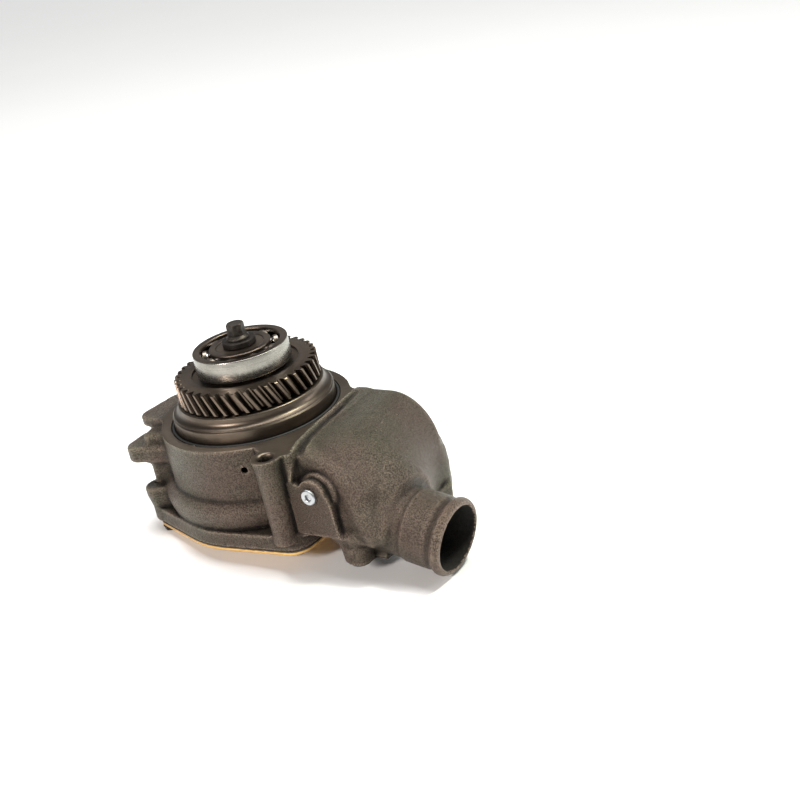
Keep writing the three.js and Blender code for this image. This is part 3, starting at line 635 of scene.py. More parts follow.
def sheet(name, outline, holes, material, node, bevel):
    """Flat gasket between its CAD node's heights, with rounded edges, made by filling its outline."""
    z0, z1 = heights(node)
    bm = bmesh.new()
    for loop in [outline, *holes]:
        corners = [bm.verts.new((u, v, z0)) for u, v in loop]
        for a, b in zip(corners, corners[1:] + corners[:1]):
            bm.edges.new((a, b))
    bmesh.ops.triangle_fill(bm, edges=bm.edges[:], use_beauty=True, use_dissolve=False)
    made = bmesh.ops.extrude_face_region(bm, geom=bm.faces[:])
    lifted = [g for g in made["geom"] if isinstance(g, bmesh.types.BMVert)]
    bmesh.ops.translate(bm, verts=lifted, vec=(0, 0, z1 - z0))
    bmesh.ops.recalc_face_normals(bm, faces=bm.faces[:])
    rims = [e for e in bm.edges if len(e.link_faces) == 2 and e.calc_face_angle(0) > 1.2]
    bmesh.ops.bevel(bm, geom=rims, offset=bevel, segments=2, profile=0.5, affect="EDGES")
    placed(name, mesh_from(bm, name, material), "root", node, 35)


# ---- materials ----------------------------------------------------------------------------------------
class Surface:
    """A Principled material whose colour, roughness and bump come from nodes in object space."""

    def __init__(self, name, base, roughness, metallic, **plain):
        self.material = bpy.data.materials.new(name)
        self.material.use_nodes = True
        self.tree = self.material.node_tree
        self.shader = self.tree.nodes["Principled BSDF"]
        self.shader.inputs["Base Color"].default_value = (*base, 1)
        self.shader.inputs["Roughness"].default_value = roughness
        self.shader.inputs["Metallic"].default_value = metallic
        for socket, value in plain.items():
            self.shader.inputs[socket.replace("_", " ")].default_value = value
        self.place = self.tree.nodes.new("ShaderNodeTexCoord").outputs["Object"]

    def link(self, out, socket):
        self.tree.links.new(out, socket)

    def math(self, operation, a, b=None):
        node = self.tree.nodes.new("ShaderNodeMath")
        node.operation = operation
        for value, socket in zip((a, b), node.inputs):
            if hasattr(value, "links"):
                self.link(value, socket)
            elif value is not None:
                socket.default_value = value
        return node.outputs[0]

    def noise(self, scale, detail=3.0, rough=0.55, place=None):
        node = self.tree.nodes.new("ShaderNodeTexNoise")
        node.inputs["Scale"].default_value = scale
        node.inputs["Detail"].default_value = detail
        node.inputs["Roughness"].default_value = rough
        self.link(place or self.place, node.inputs["Vector"])
        return node.outputs[0]

    def turning_marks(self, across=900.0, along=60.0):
        """Fine uneven circles about Z, as a lathe leaves them."""
        split = self.tree.nodes.new("ShaderNodeSeparateXYZ")
        self.link(self.place, split.inputs[0])
        x, y, z = split.outputs
        radius = self.math("SQRT", self.math("ADD", self.math("MULTIPLY", x, x), self.math("MULTIPLY", y, y)))
        turn = self.math("ARCTAN2", y, x)
        join = self.tree.nodes.new("ShaderNodeCombineXYZ")
        self.link(self.math("MULTIPLY", radius, across), join.inputs[0])
        self.link(self.math("MULTIPLY", z, across), join.inputs[1])
        self.link(self.math("MULTIPLY", turn, along * 0.02), join.inputs[2])
        return self.noise(1.0, 2.0, 0.6, join.outputs[0])

    def range(self, value, low, high, new_low, new_high):
        node = self.tree.nodes.new("ShaderNodeMapRange")
        for socket, number in zip(node.inputs[1:5], (low, high, new_low, new_high)):
            socket.default_value = number
        self.link(value, node.inputs[0])
        return node.outputs[0]

    def mixed(self, factor, a, b):
        """Colour between a and b; each is a colour or another node's output."""
        node = self.tree.nodes.new("ShaderNodeMix")
        node.data_type = "RGBA"
        self.link(factor, node.inputs[0])
        for value, socket in ((a, node.inputs[6]), (b, node.inputs[7])):
            if hasattr(value, "links"):
                self.link(value, socket)
            else:
                socket.default_value = (*value, 1)
        return node.outputs[2]

    def edges(self, low=0.47, high=0.54):
        """0 in hollows and 1 on raised edges."""
        point = self.tree.nodes.new("ShaderNodeNewGeometry").outputs["Pointiness"]
        return self.range(point, low, high, 0.0, 1.0)

    def colour(self, out):
        self.link(out, self.shader.inputs["Base Color"])

    def roughness(self, value, low, high):
        self.link(self.range(value, 0.3, 0.7, low, high), self.shader.inputs["Roughness"])

    def bumps(self, *layers):
        """Layers of (height, strength, depth in metres), each on top of the last."""
        normal = None
        for height, strength, depth in layers:
            node = self.tree.nodes.new("ShaderNodeBump")
            node.inputs["Strength"].default_value = strength
            node.inputs["Distance"].default_value = depth
            self.link(height, node.inputs["Height"])
            if normal is not None:
                self.link(normal, node.inputs["Normal"])
            normal = node.outputs[0]
        self.link(normal, self.shader.inputs["Normal"])


def cast_iron(name, dark, light, green, pink, roughness=(0.27, 0.43), metallic=0.72, grain=0.9):
    """Sand-cast iron under a dark film: fine grain, soft broad stains, painted shade darkening the hollows,
    and brighter worn edges.
    """
    s = Surface(name, dark, 0.5, metallic)
    fine = s.noise(860, 3, 0.7)
    stains = s.mixed(s.range(s.noise(14, 2), 0.4, 0.6, 0, 1), green, pink)
    speckle = s.mixed(s.range(fine, 0.41, 0.6, 0, 1), dark, light)
    tone = s.mixed(s.range(s.noise(60, 3), 0.2, 0.9, 0.2, 0.55), speckle, stains)
    # Painted shade: hollows darken towards 0.62 of the dark grain tone, while raised edges keep the full
    # tone.
    s.colour(s.mixed(s.edges(), tuple(0.62 * c for c in dark), tone))
    s.roughness(s.noise(300, 3), *roughness)
    s.bumps((s.noise(160, 2), 0.35, 0.0006), (fine, grain, 0.0015))
    return s.material


def machined(name, base, roughness=(0.24, 0.4), marks=0.25, anisotropic=0.5, metallic=0.95):
    """Turned metal with fine circles and faint handling stains."""
    s = Surface(name, base, 0.3, metallic, Anisotropic=anisotropic)
    lines = s.turning_marks()
    stain = s.range(s.noise(45, 4), 0.35, 0.7, 0, 1)
    darker = tuple(0.72 * c for c in base)
    s.colour(s.mixed(s.range(s.math("MULTIPLY", lines, stain), 0.1, 0.5, 0, 1), base, darker))
    s.roughness(s.math("MULTIPLY", s.math("ADD", lines, s.noise(90)), 0.5), *roughness)
    s.bumps((lines, marks, 0.00008))
    tangent = s.tree.nodes.new("ShaderNodeTangent")
    tangent.direction_type = "RADIAL"
    tangent.axis = "Z"
    s.link(tangent.outputs[0], s.shader.inputs["Tangent"])
    return s.material


def plain_metal(name, base, other, roughness, metallic=1.0, scale=180, bump=0.15):
    """Plated, blackened or forged metal: two tones, uneven gloss and a slight texture."""
    s = Surface(name, base, 0.4, metallic)
    patch = s.range(s.noise(scale, 4, 0.6), 0.35, 0.65, 0, 1)
    s.colour(s.mixed(s.edges(0.48, 0.56), s.mixed(patch, base, other), other))
    s.roughness(s.noise(scale * 2), *roughness)
    s.bumps((s.noise(scale * 5, 3), bump, 0.0002))
    return s.material


def matt(name, base, roughness, scale=900, bump=0.2, flecks=None):
    """Rubber, carbon, ceramic or fibre sheet."""
    s = Surface(name, base, 0.5, 0.0)
    patch = s.range(s.noise(scale, 3, 0.7), 0.4, 0.66, 0, 1)
    s.colour(s.mixed(patch, base, flecks or tuple(1.6 * c for c in base)))
    s.roughness(s.noise(scale / 3), *roughness)
    s.bumps((s.noise(scale, 4), bump, 0.0002))
    return s.material


IRON = cast_iron(
    "cast_iron", (0.02, 0.015, 0.011), (0.3, 0.243, 0.19), (0.098, 0.106, 0.062), (0.165, 0.098, 0.078),
)
# Near-black copy of the cast iron, painted shade for the inside of the pipe's bore and of the port's
# passages.
IRON_PAINTED_SHADE = cast_iron(
    "cast_iron_inside_painted_shade", (0.006, 0.005, 0.004), (0.03, 0.022, 0.018), (0.012, 0.01, 0.008),
    (0.024, 0.015, 0.012), roughness=(0.7, 0.85), metallic=0.2, grain=0.9,
)
IRON_FACE = machined("machined_iron", (0.135, 0.108, 0.084), (0.34, 0.5), marks=0.3, anisotropic=0.35)
# Darker copy of the machined iron for the pilot's skin, painted shade for the hollow under the gear.
PILOT_IRON_SHADE = machined("pilot_iron", (0.098, 0.077, 0.06), (0.3, 0.46), marks=0.35, anisotropic=0.3)
SHAFT_STEEL = machined("turned_steel", (0.15, 0.118, 0.092), roughness=(0.24, 0.4))
GEAR_STEEL = machined("gear_steel", (0.125, 0.096, 0.074), roughness=(0.26, 0.42), marks=0.2)
# Near-black copy of the gear steel, painted shade on the tooth flanks and the roots between teeth.
GEAR_GAP_SHADE = machined("gear_gaps", (0.024, 0.018, 0.014), roughness=(0.45, 0.65), marks=0.3)
BEARING_STEEL = machined("bearing_steel", (0.282, 0.27, 0.245), (0.2, 0.34), marks=0.1, anisotropic=0.4)
BEARING_FACE = machined("bearing_face", (0.115, 0.09, 0.073), roughness=(0.28, 0.42), marks=0.1)
BALL_STEEL = plain_metal("ball_steel", (0.8, 0.8, 0.79), (0.7, 0.7, 0.7), (0.04, 0.1), bump=0.01)
CAGE_STEEL = plain_metal("cage_steel", (0.11, 0.088, 0.07), (0.2, 0.17, 0.14), (0.3, 0.45))
BLACK_STEEL = plain_metal(
    "black_oxide", (0.009, 0.007, 0.006), (0.06, 0.05, 0.042), (0.36, 0.56), metallic=0.8, scale=300, bump=0.8
)
WASHER_STEEL = plain_metal(
    "black_washer", (0.006, 0.005, 0.004), (0.028, 0.023, 0.02), (0.42, 0.6),
    metallic=0.8, scale=300, bump=0.6,
)
ZINC = plain_metal("bright_zinc", (0.5, 0.51, 0.53), (0.36, 0.37, 0.39), (0.26, 0.42), bump=0.1)
YELLOW_ZINC = plain_metal(
    "yellow_zinc", (0.85, 0.52, 0.13), (0.7, 0.44, 0.17), (0.3, 0.5), scale=70, bump=0.1
)
RUBBER = matt("black_rubber", (0.003, 0.003, 0.003), (0.6, 0.75))
PAPER = matt("gasket_fibre", (0.03, 0.025, 0.021), (0.8, 0.95), scale=1400, flecks=(0.08, 0.065, 0.055))
CERAMIC = matt("seal_ceramic", (0.74, 0.69, 0.6), (0.2, 0.3), bump=0.05, flecks=(0.68, 0.64, 0.56))
CARBON = matt("seal_carbon", (0.02, 0.02, 0.021), (0.3, 0.4), bump=0.05)


# ---- housing --------------------------------------------------------------------------------------------
def housing():
    low, high = HOUSING_LOW - 3, HOUSING_HIGH + 3
    vertices, faces = contour(casting, low, high, VOXEL)
    corners = vertices[faces]
    centre = corners.mean(1)
    normal = np.cross(corners[:, 2] - corners[:, 0], corners[:, 3] - corners[:, 1])
    normal /= np.maximum(np.linalg.norm(normal, axis=1), 1e-9)[:, None]
    x, y, z = centre.T
    r = np.hypot(x, y)
    out, back = along_pipe(x, y, z)
    finish_and_shade = np.zeros(len(faces), int)
    up, down = normal[:, 2] > 0.8, normal[:, 2] < -0.8
    finish_and_shade[up & (np.abs(z - FACE) < 0.35) & (FACE_ZONE(x, y) < 0.5)] = 1
    finish_and_shade[(r < GROOVE_R + 0.4) & (z > FACE - GROOVE_DEPTH - 0.5)] = 1
    finish_and_shade[down & (np.abs(z - PORT_Z) < 0.35)] = 1
    finish_and_shade[down & (np.abs(z - FLANGE[0]) < 0.35)] = 1
    cx, cy = polar(*COLUMN)
    finish_and_shade[(np.hypot(x - cx, y - cy) < 8.6) & (z > FACE - 2.5)] = 1
    # Index 2 is painted shade: the near-black iron on the pipe's bore and inside the port's windows.
    finish_and_shade[(out < PIPE_BORE_R + 0.9) & (back > 0.8) & (back < 66)] = 2
    in_port = (np.abs(x - PORT_X) < PORT_WINDOW_HALF + 1) & (y > -50) & (y < 46)
    finish_and_shade[in_port & (z > PORT_Z + 0.3) & (z < 60) & (out < 62)] = 2
    materials = [IRON, IRON_FACE, IRON_PAINTED_SHADE]
    mesh_object("housing_casting", vertices, faces, materials, "root", "housing", finish_and_shade, 36)


def pilot():
    """Turned skin of the pilot, from the bottom of the seal's groove up to its top, with crisp edges."""
    skin, deep = 0.22, 4.0
    outer = [(PILOT_R + skin * 0.4, FACE - 3), (PILOT_R + skin * 0.4, FACE + 9.8), (PILOT_R - 1.1, FACE + 11)]
    outer += arc(68, FACE + 17.5, 6, 6.3, 262, 186, 12)
    outer += [(61.6 + skin, PILOT_TOP - 0.7), (61.0, PILOT_TOP + 0.1)]
    inner = [(61.0 - deep, PILOT_TOP + 0.1), (61.0 - deep, FACE - 3)]
    # The skin takes the darker iron, painted shade for the hollow under the gear.
    lathe("pilot_skin", outer + inner, PILOT_IRON_SHADE, "root", edge=0.25, sharp=28)


# ---- gear -----------------------------------------------------------------------------------------------
TEETH = 41
HELIX = math.radians(25)
NORMAL_MODULE = 2.54
PRESSURE_ANGLE = math.radians(20)
PITCH_R = TEETH * NORMAL_MODULE / math.cos(HELIX) / 2


def tooth_profile(tip_cut=0.0):
    """(angle, radius) round the gear, with involute-like flanks and a root fillet."""
    tip, root = PITCH_R + NORMAL_MODULE - tip_cut, PITCH_R - 1.2 * NORMAL_MODULE
    pitch = 2 * math.pi / TEETH
    spread = math.tan(PRESSURE_ANGLE) / (PITCH_R * pitch)
    flank = [(0.425, root), (0.39, root + 0.25), (0.362, root + 0.9)]
    for r in np.linspace(root + 1.9, tip - 0.35, 5):
        flank.append((0.25 - spread * (r - PITCH_R) - 0.004 * (r - PITCH_R), r))
    flank.append((flank[-1][0] - 0.035, tip))
    tooth = [(-share, r) for share, r in flank] + [(0.0, tip)] + [(share, r) for share, r in reversed(flank)]
    return [((i + share) * pitch, r) for i in range(TEETH) for share, r in tooth]


def drive_gear():
    """Helical gear: toothed rings up its width, then rings across its web on both faces."""
    z0, z1 = heights("drive_gear")
    chamfer = 0.6

    def ring(profile, z, twisted_at):
        twist = (z1 - twisted_at) * math.tan(HELIX) / PITCH_R
        return [(r * math.cos(a + twist), r * math.sin(a + twist), z) for a, r in profile]

    cut, whole = tooth_profile(chamfer), tooth_profile()
    rings = [ring(cut, z0, z0)]
    rings += [ring(whole, z, z) for z in np.linspace(z0 + 0.55, z1 - 0.55, 9)]
    rings += [ring(cut, z1, z1)]
    web = eased([
        (52, z1), (45, z1), (45, z1 - 2.2), (27, z1 - 2.2), (27, z1), (21.3, z1),
        (21.3, z0), (28, z0), (28, z0 + 2.2), (46, z0 + 2.2), (46, z0), (52, z0),
    ], 0.5)[2:-1]
    for r, z, twisted_at in [*[(r, z, z1) for r, z in web], (52, z0, z0)]:
        rings.append(ring([(a, r) for a, _ in whole], z, twisted_at))
    vertices, faces = ring_strip(rings)
    corners = vertices[faces]
    r = np.hypot(corners[:, :, 0], corners[:, :, 1]).mean(1)
    # Painted shade: flanks below PITCH_R + 0.8 and the roots between teeth take the near-black gap steel.
    gap = (np.ptp(corners[:, :, 2], axis=1) > 0.1) & (r > 55) & (r < PITCH_R + 0.8)
    materials = [GEAR_STEEL, GEAR_GAP_SHADE]
    mesh_object("drive_gear_toothed", vertices, faces, materials, "rotor", "drive_gear", gap)


# ---- bearings -------------------------------------------------------------------------------------------
BRG_BORE = 20.1
BRG_OUTER = 40
BRG_INNER = 26
BRG_LIP = 33.6
BRG_PITCH = 30
BALLS = 9
BALL_R = 6
BALL_TURN = 12
RACE_PLAY = 0.35


def bearing(prefix, inner_body, outer_body, cage_body):
    """Both races, the cage and the balls of one deep-groove bearing."""
    z0, z1 = heights(f"{prefix}_bearing_outer_ring")
    mid = (z0 + z1) / 2
    groove = BALL_R + RACE_PLAY
    reach = math.degrees(math.acos((BRG_LIP - BRG_PITCH) / groove))
    outer = [(BRG_LIP + 0.7, z0), (BRG_OUTER, z0), (BRG_OUTER, z1), (BRG_LIP + 0.7, z1), (BRG_LIP, z1 - 0.8)]
    outer += [*arc(BRG_PITCH, mid, groove, groove, reach, -reach, 17), (BRG_LIP, z0 + 0.8)]
    lathe(f"{prefix}_outer_race", outer, BEARING_STEEL, outer_body,
          f"{prefix}_bearing_outer_ring", edge=0.9, ends=BEARING_FACE, within=BRG_OUTER - 1)
    reach = math.degrees(math.acos((BRG_PITCH - BRG_INNER) / groove))
    inner = [(BRG_BORE, z0), (BRG_INNER - 0.5, z0), (BRG_INNER, z0 + 0.6)]
    inner += [*arc(BRG_PITCH, mid, groove, groove, 180 + reach, 180 - reach, 17), (BRG_INNER, z1 - 0.6)]
    inner += [(BRG_INNER - 0.5, z1), (BRG_BORE, z1)]
    lathe(f"{prefix}_inner_race", inner, BEARING_FACE, inner_body,
          f"{prefix}_bearing_inner_ring", edge=0.7)
    cage(prefix, mid, cage_body)
    for i in range(BALLS):
        ball(f"{prefix}_ball_{i + 1}", *polar(BRG_PITCH, 360 / BALLS * i + BALL_TURN), mid, cage_body)


def ball(node, x, y, z, body):
    bm = bmesh.new()
    bmesh.ops.create_icosphere(bm, subdivisions=4, radius=BALL_R)
    bmesh.ops.translate(bm, verts=bm.verts[:], vec=(x, y, z))
    placed(f"{node}_ground", mesh_from(bm, node, BALL_STEEL), body, node, 180)


def cage(prefix, mid, body):
    """Two pressed ribbons that meet between the balls and bow round each, with a rivet in each flat."""
    angle = np.linspace(0, 2 * math.pi, BALLS * 40, endpoint=False)
    step = 2 * math.pi / BALLS
    beside = np.mod(angle - math.radians(BALL_TURN) + step / 2, step) - step / 2
    bow = np.sqrt(np.maximum((BALL_R + 0.5) ** 2 - (BRG_PITCH * beside) ** 2, 0.06**2))
    thick, radii = 0.8, (28.4, 31.6)
    vertices, faces = [], []
    for side in (1, -1):
        rings = []
        for r, lift in ((radii[0], 0), (radii[1], 0), (radii[1], thick), (radii[0], thick)):
            rings.append(np.stack([r * np.cos(angle), r * np.sin(angle), mid + side * (bow + lift)], 1))
        v, f = ring_strip(rings)
        faces.append(f + sum(len(k) for k in vertices))
        vertices.append(v)
    for i in range(BALLS):
        x, y = polar(BRG_PITCH, 360 / BALLS * (i + 0.5) + BALL_TURN)
        v, f = turned([(0.05, -1.9), (0.9, -1.7), (1.15, -1.1), (1.15, 1.1), (0.9, 1.7), (0.05, 1.9)], 16)
        faces.append(f + sum(len(k) for k in vertices))
        vertices.append(v + (x, y, mid))
    mesh_object(f"{prefix}_cage_ribbons", np.concatenate(vertices), np.concatenate(faces), [CAGE_STEEL], body,
                f"{prefix}_bearing_cage", sharp=45)


# ---- fasteners ------------------------------------------------------------------------------------------
def hexagon(across, z, limit=99.0, segments=96, turn=0.0):
    """Ring in the shape of a hexagon of that width across flats, cut off at the limit radius."""
    points = []
    for i in range(segments):
        a = 2 * math.pi * i / segments
        beside = (a + math.pi / 6) % (math.pi / 3) - math.pi / 6
        r = min(across / 2 / math.cos(beside), limit)
        points.append((r * math.cos(a + turn), r * math.sin(a + turn), z))
    return points


def circle(r, z, segments=96, turn=0.0):
    return hexagon(99, z, r, segments, turn)


def from_rings(name, rings, material, body, node, move):
    vertices, faces = ring_strip(rings)
    vertices = np.array([move @ Vector(v) for v in vertices])
    mesh_object(name, vertices, faces, [material], body, node, sharp=32)


def hex_bolt(node, body, shank, flange_r, across, height, places, turn, down=False):
    """Flanged bolt. places are the shank's end, the seat, the flange's edge and the head's foot, along it."""
    end, seat, rim, foot = places
    top = foot + height
    corner = across / 2 / math.cos(math.pi / 6)
    rings = [circle(0.05, end), circle(shank - 0.7, end), circle(shank, end + 0.8), circle(shank, seat)]
    rings += [circle(flange_r - 0.3, seat), circle(flange_r, seat + 0.3), circle(flange_r, rim - 0.2)]
    rings += [circle(flange_r - 0.35, rim), circle(corner + 0.5, foot)]
    rings += [hexagon(across, foot + 0.3, turn=turn), hexagon(across, top - 1.1, turn=turn)]
    rings.append(hexagon(across, top - 0.6, corner - 0.35, turn=turn))
    rings.append(hexagon(across, top - 0.15, across / 2 + 0.1, turn=turn))
    rings += [circle(across / 2 - 0.5, top), circle(across / 2 - 2.2, top - 0.25), circle(0.05, top - 0.3)]
    move = Matrix.Identity(4)
    if down:
        move = Matrix.Translation((*middle(node), 0)) @ Matrix.Rotation(math.pi, 4, "X")
    from_rings(f"{node}_flanged", rings, BLACK_STEEL, body, node, move)


def side_plug():
    """Plug with a fine knurl round its head and a hexagon socket in it."""
    segments, knurl = 216, 0.12
    head_r, top = (PLUG_HIGH[0] - PLUG_LOW[0]) / 2, PLUG_HEAD_T

    def ribbed(z):
        return [(*polar(head_r - knurl * (i % 4 < 2), 360 * i / segments), z) for i in range(segments)]

    shank = [(0.05, -9), (4.6, -9), (5, -8.4), (5, 0.3), (head_r - 0.3, 0.3)]
    crown = [(head_r - 0.2, top - 0.6), (head_r - 0.75, top - 0.05), (head_r - 1.1, top), (3.35, top)]
    socket = [(5.5, top - 0.35, 3.1), (5.2, top - 0.6, 99), (5.1, 0.9, 99)]
    rings = [circle(r, z, segments) for r, z in shank]
    rings += [ribbed(0.6), ribbed(top - 0.9)]
    rings += [circle(r, z, segments) for r, z in crown]
    rings += [hexagon(across, z, limit, segments, 0.2) for across, z, limit in socket]
    rings.append(circle(0.05, 0.5, segments))
    move = Matrix.Translation(PLUG) @ Matrix.Rotation(math.pi / 2, 4, "X")
    from_rings("side_plug_socket", rings, ZINC, "root", "side_plug", move)


# ---- rear cover and gaskets -----------------------------------------------------------------------------
COVER_OUTLINE = hull_outline([(0, 0, FLANGE_R - 0.4), *CORNERS], 3)


def rear_cover():
    low, high = span("rear_cover")
    shape, boss_r, lift = Outline(COVER_OUTLINE), 48, 0.5

    def field(x, y, z):
        r = np.hypot(x, y)
        step = np.clip((boss_r - r) / 3, 0, 1)
        pressed = z + lift * step * step * (3 - 2 * step)
        d = rounded_pair(shape(x, y), slab(pressed, lift, high[2]), 0.6)
        for bx, by in BOLT_PLACES:
            d = carve(d, np.hypot(x - bx, y - by) - 3.4)
        return d

    vertices, faces = contour(field, low - 2, high + 2, 1.0)
    mesh_object("rear_cover_plate", vertices, faces, [YELLOW_ZINC], "root", "rear_cover")


def gaskets():
    def hole(x, y, r):
        return arc(x, y, r, r, 0, 345, 24)

    holes = [hole(x, y, 3.6) for x, y in BOLT_PLACES]
    bore = arc(0, 0, 56, 56, 0, 357, 120)
    sheet("cover_gasket_sheet", COVER_OUTLINE, [bore, *holes], PAPER, "cover_gasket", 0.1)
    west, east = PORT_X - PORT_WINDOW_HALF, PORT_X + PORT_WINDOW_HALF
    windows = [eased([(west, a), (east, a), (east, b), (west, b)], 2.5, 5) for a, b in PORT_WINDOWS]
    holes = [hole(PORT_X, y, EAR_HOLE_R + 0.5) for y, _ in PORT_EARS]
    outline = eased(port_points(), 2, 4)
    sheet("port_gasket_sheet", outline, windows + holes, PAPER, "port_gasket", 0.12)


# ---- rotor and seals ------------------------------------------------------------------------------------
def rotor():
    bottom, top = heights("shaft")
    lathe("shaft_turned", [
        (0.05, bottom), (14, bottom), (14, 34.2), (15, 34.2), (15, 66), (17.5, 67), (17.5, 84), (20, 85.2),
        (20, 106), (25, 106), (25, 108.6), (21, 108.6), (21, 127), (20, 127), (20, top), (6.2, top),
        (5.3, top - 0.9), (5.3, top - 34), (0.05, top - 34),
    ], SHAFT_STEEL, "rotor", "shaft", 0.5)
    z0, z1 = heights("shaft_washer")
    lathe("shaft_washer_thick", [
        (6.6, z0), (13.9, z0), (13.9, z1), (9.5, z1), (9.2, z1 - 0.25), (6.6, z1 - 0.25),
    ], WASHER_STEEL, "rotor", "shaft_washer", 0.7)
    bottom, top = heights("shaft_bolt")
    seat = z1 + 0.3
    foot = seat + 3.4
    places = (bottom, seat, seat + 1.7, foot)
    hex_bolt("shaft_bolt", "rotor", 5, 9.6, 13.2, top - foot, places, math.radians(20))


def seals():
    z0, z1 = heights("pilot_o_ring")
    middle_r = (PILOT_R + GROOVE_R) / 2
    cord = span("pilot_o_ring")[1][0] - middle_r
    lathe("pilot_o_ring_cord", arc(middle_r, (z0 + z1) / 2, cord, cord, 0, 345, 24),
          RUBBER, "root", "pilot_o_ring", 0.05)
    z0, z1 = heights("oil_seal")
    lathe("oil_seal_moulded", [
        (17.85, z0 + 0.4), (20, z0), (30.7, z0), (30.7, z1), (24, z1), (24, z0 + 2.4), (20.5, z0 + 2.4),
        (19.6, z1 - 2.4), (18.2, z1 - 2), (17.85, z1 - 3.6),
    ], RUBBER, "root", "oil_seal")
    z0, z1 = heights("seal_seat")
    lathe("seal_seat_lapped", [(16, z0), (20, z0), (20, z1), (16, z1)],
          CERAMIC, "root", "seal_seat", 0.6)
    z0, z1 = heights("seal_face")
    lathe("seal_face_lapped", [
        (15.3, z0), (19, z0), (19, z1 - 1.9), (17.8, z1 - 1.6), (17.8, z1), (15.6, z1), (15.3, z1 - 0.4),
    ], CARBON, "rotor", "seal_face", 0.3)
    z0, z1 = heights("seal_cup")
    lathe("seal_cup_pressed", [
        (15.3, z0), (21.5, z0), (21.5, z1), (20.3, z1), (20.3, z0 + 1.2), (15.3, z0 + 1.2),
    ], ZINC, "rotor", "seal_cup", 0.5)


def kept_nodes():
    """CAD nodes whose shape stays as it is, under better materials."""
    for node, material in (("impeller", IRON), ("seal_spring", ZINC), ("bearing_snap_ring", BLACK_STEEL)):
        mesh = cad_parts[node].data
        mesh.materials.clear()
        mesh.materials.append(material)


# ---- camera, light and floor ----------------------------------------------------------------------------
CAMERA_AT = Vector((0.8064, -0.8391, 0.5668))
FORWARD = Vector((-0.5652, 0.7235, -0.3964))
UP = Vector((-0.0732, 0.4346, 0.8976))
LENS = 67.5
TARGET = Vector((0.03, -0.01, 0.05))


def camera():
    data = bpy.data.cameras.new("camera")
    data.lens = LENS
    data.sensor_width = 36
    data.clip_start, data.clip_end = 0.01, 30
    forward = FORWARD.normalized()
    right = forward.cross(UP).normalized()
    up = right.cross(forward)
    turn = Matrix((right, up, -forward)).transposed().to_4x4()
    eye = bpy.data.objects.new("camera", data)
    eye.matrix_world = Matrix.Translation(CAMERA_AT) @ turn
    bpy.context.scene.collection.objects.link(eye)
    bpy.context.scene.camera = eye
    return right, up, forward


def pipe_foot():
    tilt = math.radians(PIPE_TILT)
    x, y, z = PIPE_MOUTH
    return Vector((x - BEAD_R * math.sin(tilt) - 5, y, z - BEAD_R * math.cos(tilt)))


RESTS_ON = (pipe_foot(), Vector((-76, -66, -4)), Vector((-66, 76, -4)))


def floor_normal():
    mouth, near, far = RESTS_ON
    normal = (near - mouth).cross(far - mouth).normalized()
    return normal if normal.z > 0 else -normal


def softbox(name, at, size, power, colour=(1, 1, 1)):
    data = bpy.data.lights.new(name, "AREA")
    data.shape = "RECTANGLE"
    data.size, data.size_y = size
    data.energy = power
    data.color = colour
    lamp = bpy.data.objects.new(name, data)
    lamp.location = at
    lamp.rotation_mode = "QUATERNION"
    lamp.rotation_quaternion = (TARGET - at).to_track_quat("-Z", "Y")
    bpy.context.scene.collection.objects.link(lamp)


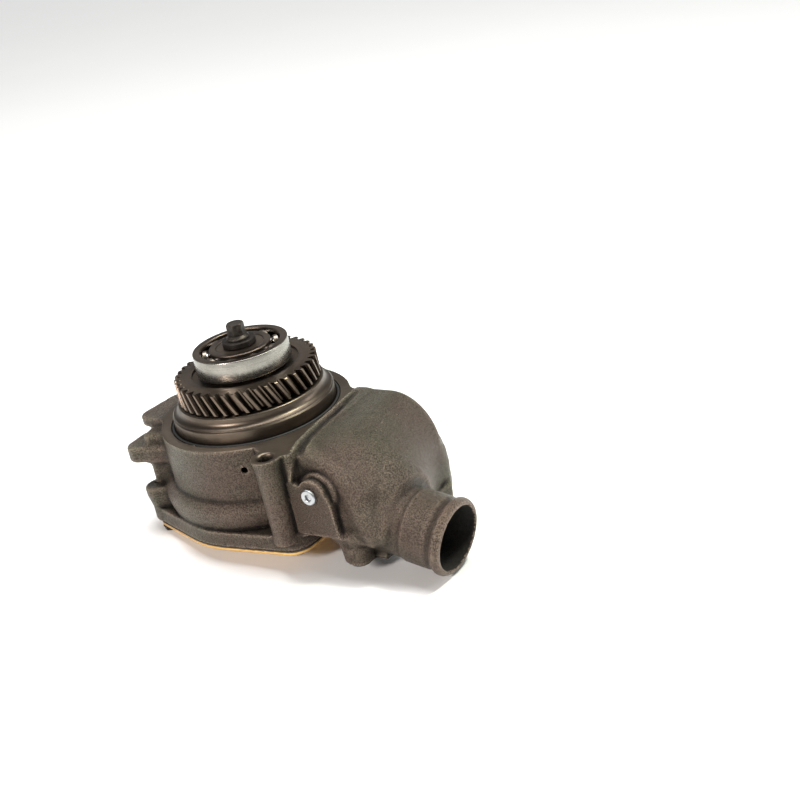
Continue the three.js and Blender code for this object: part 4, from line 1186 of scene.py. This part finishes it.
def studio(right, up, forward):
    softbox("key", TARGET - right * 0.5 + up * 1.4 - forward * 0.3, (0.5, 0.5), 12)
    softbox("fill", TARGET + right * 1.5 + up * 0.7 - forward * 0.2, (0.6, 0.9), 9)
    softbox("front", TARGET - right * 1.0 + up * 0.02 - forward * 1.15, (0.25, 0.25), 19, (1, 0.93, 0.88))
    softbox("crest", TARGET + right * 0.57 + up * 1.25 - forward * 0.63, (0.22, 0.22), 18, (0.94, 1, 0.84))
    data = bpy.data.lights.new("sky", "SUN")
    data.energy, data.angle = 2.15, math.radians(40)
    lamp = bpy.data.objects.new("sky", data)
    lamp.rotation_mode = "QUATERNION"
    lamp.rotation_quaternion = (-(up - forward * 0.25)).to_track_quat("-Z", "Y")
    bpy.context.scene.collection.objects.link(lamp)
    world = bpy.data.worlds.new("studio")
    world.use_nodes = True
    tree = world.node_tree
    height = tree.nodes.new("ShaderNodeVectorMath")
    height.operation = "DOT_PRODUCT"
    height.inputs[1].default_value = floor_normal()
    fade = tree.nodes.new("ShaderNodeMapRange")
    for socket, number in zip(fade.inputs[1:5], (0.02, 0.25, 0.85, 0.08)):
        socket.default_value = number
    tree.links.new(tree.nodes.new("ShaderNodeTexCoord").outputs["Generated"], height.inputs[0])
    tree.links.new(height.outputs["Value"], fade.inputs[0])
    tree.links.new(fade.outputs[0], tree.nodes["Background"].inputs[1])
    tree.nodes["Background"].inputs[0].default_value = (1, 1, 1, 1)
    bpy.context.scene.world = world
    bpy.context.scene.view_settings.view_transform = "Standard"


def floor():
    """Pale floor through the three points that the pump rests on: the pipe's mouth and two of the cover."""
    normal = floor_normal()
    mesh = bpy.data.meshes.new("floor")
    bm = bmesh.new()
    bmesh.ops.create_grid(bm, x_segments=1, y_segments=1, size=40)
    bm.to_mesh(mesh)
    bm.free()
    s = Surface("pale_floor", (0.91, 0.91, 0.91), 0.8, 0.0)
    s.colour(s.mixed(s.noise(3, 2), (0.9, 0.9, 0.9), (0.93, 0.93, 0.93)))
    mesh.materials.append(s.material)
    ground = bpy.data.objects.new("floor", mesh)
    ground.rotation_mode = "QUATERNION"
    ground.rotation_quaternion = normal.to_track_quat("Z", "Y")
    ground.location = RESTS_ON[0] * MM - normal * 0.0006
    bpy.context.scene.collection.objects.link(ground)


# ---- build ----------------------------------------------------------------------------------------------
studio(*camera())
floor()
housing()
pilot()
drive_gear()
bearing("front", "rotor", "front_ring", "front_cage")
bearing("rear", "rotor", "root", "rear_cage")
rotor()
side_plug()
rear_cover()
gaskets()
for i, bolt in enumerate(COVER_BOLTS):
    hex_bolt(bolt, "root", 2.9, 6, 10, 4, (-12.5, -0.2, 0.5, 1), turn=i, down=True)
seals()
kept_nodes()
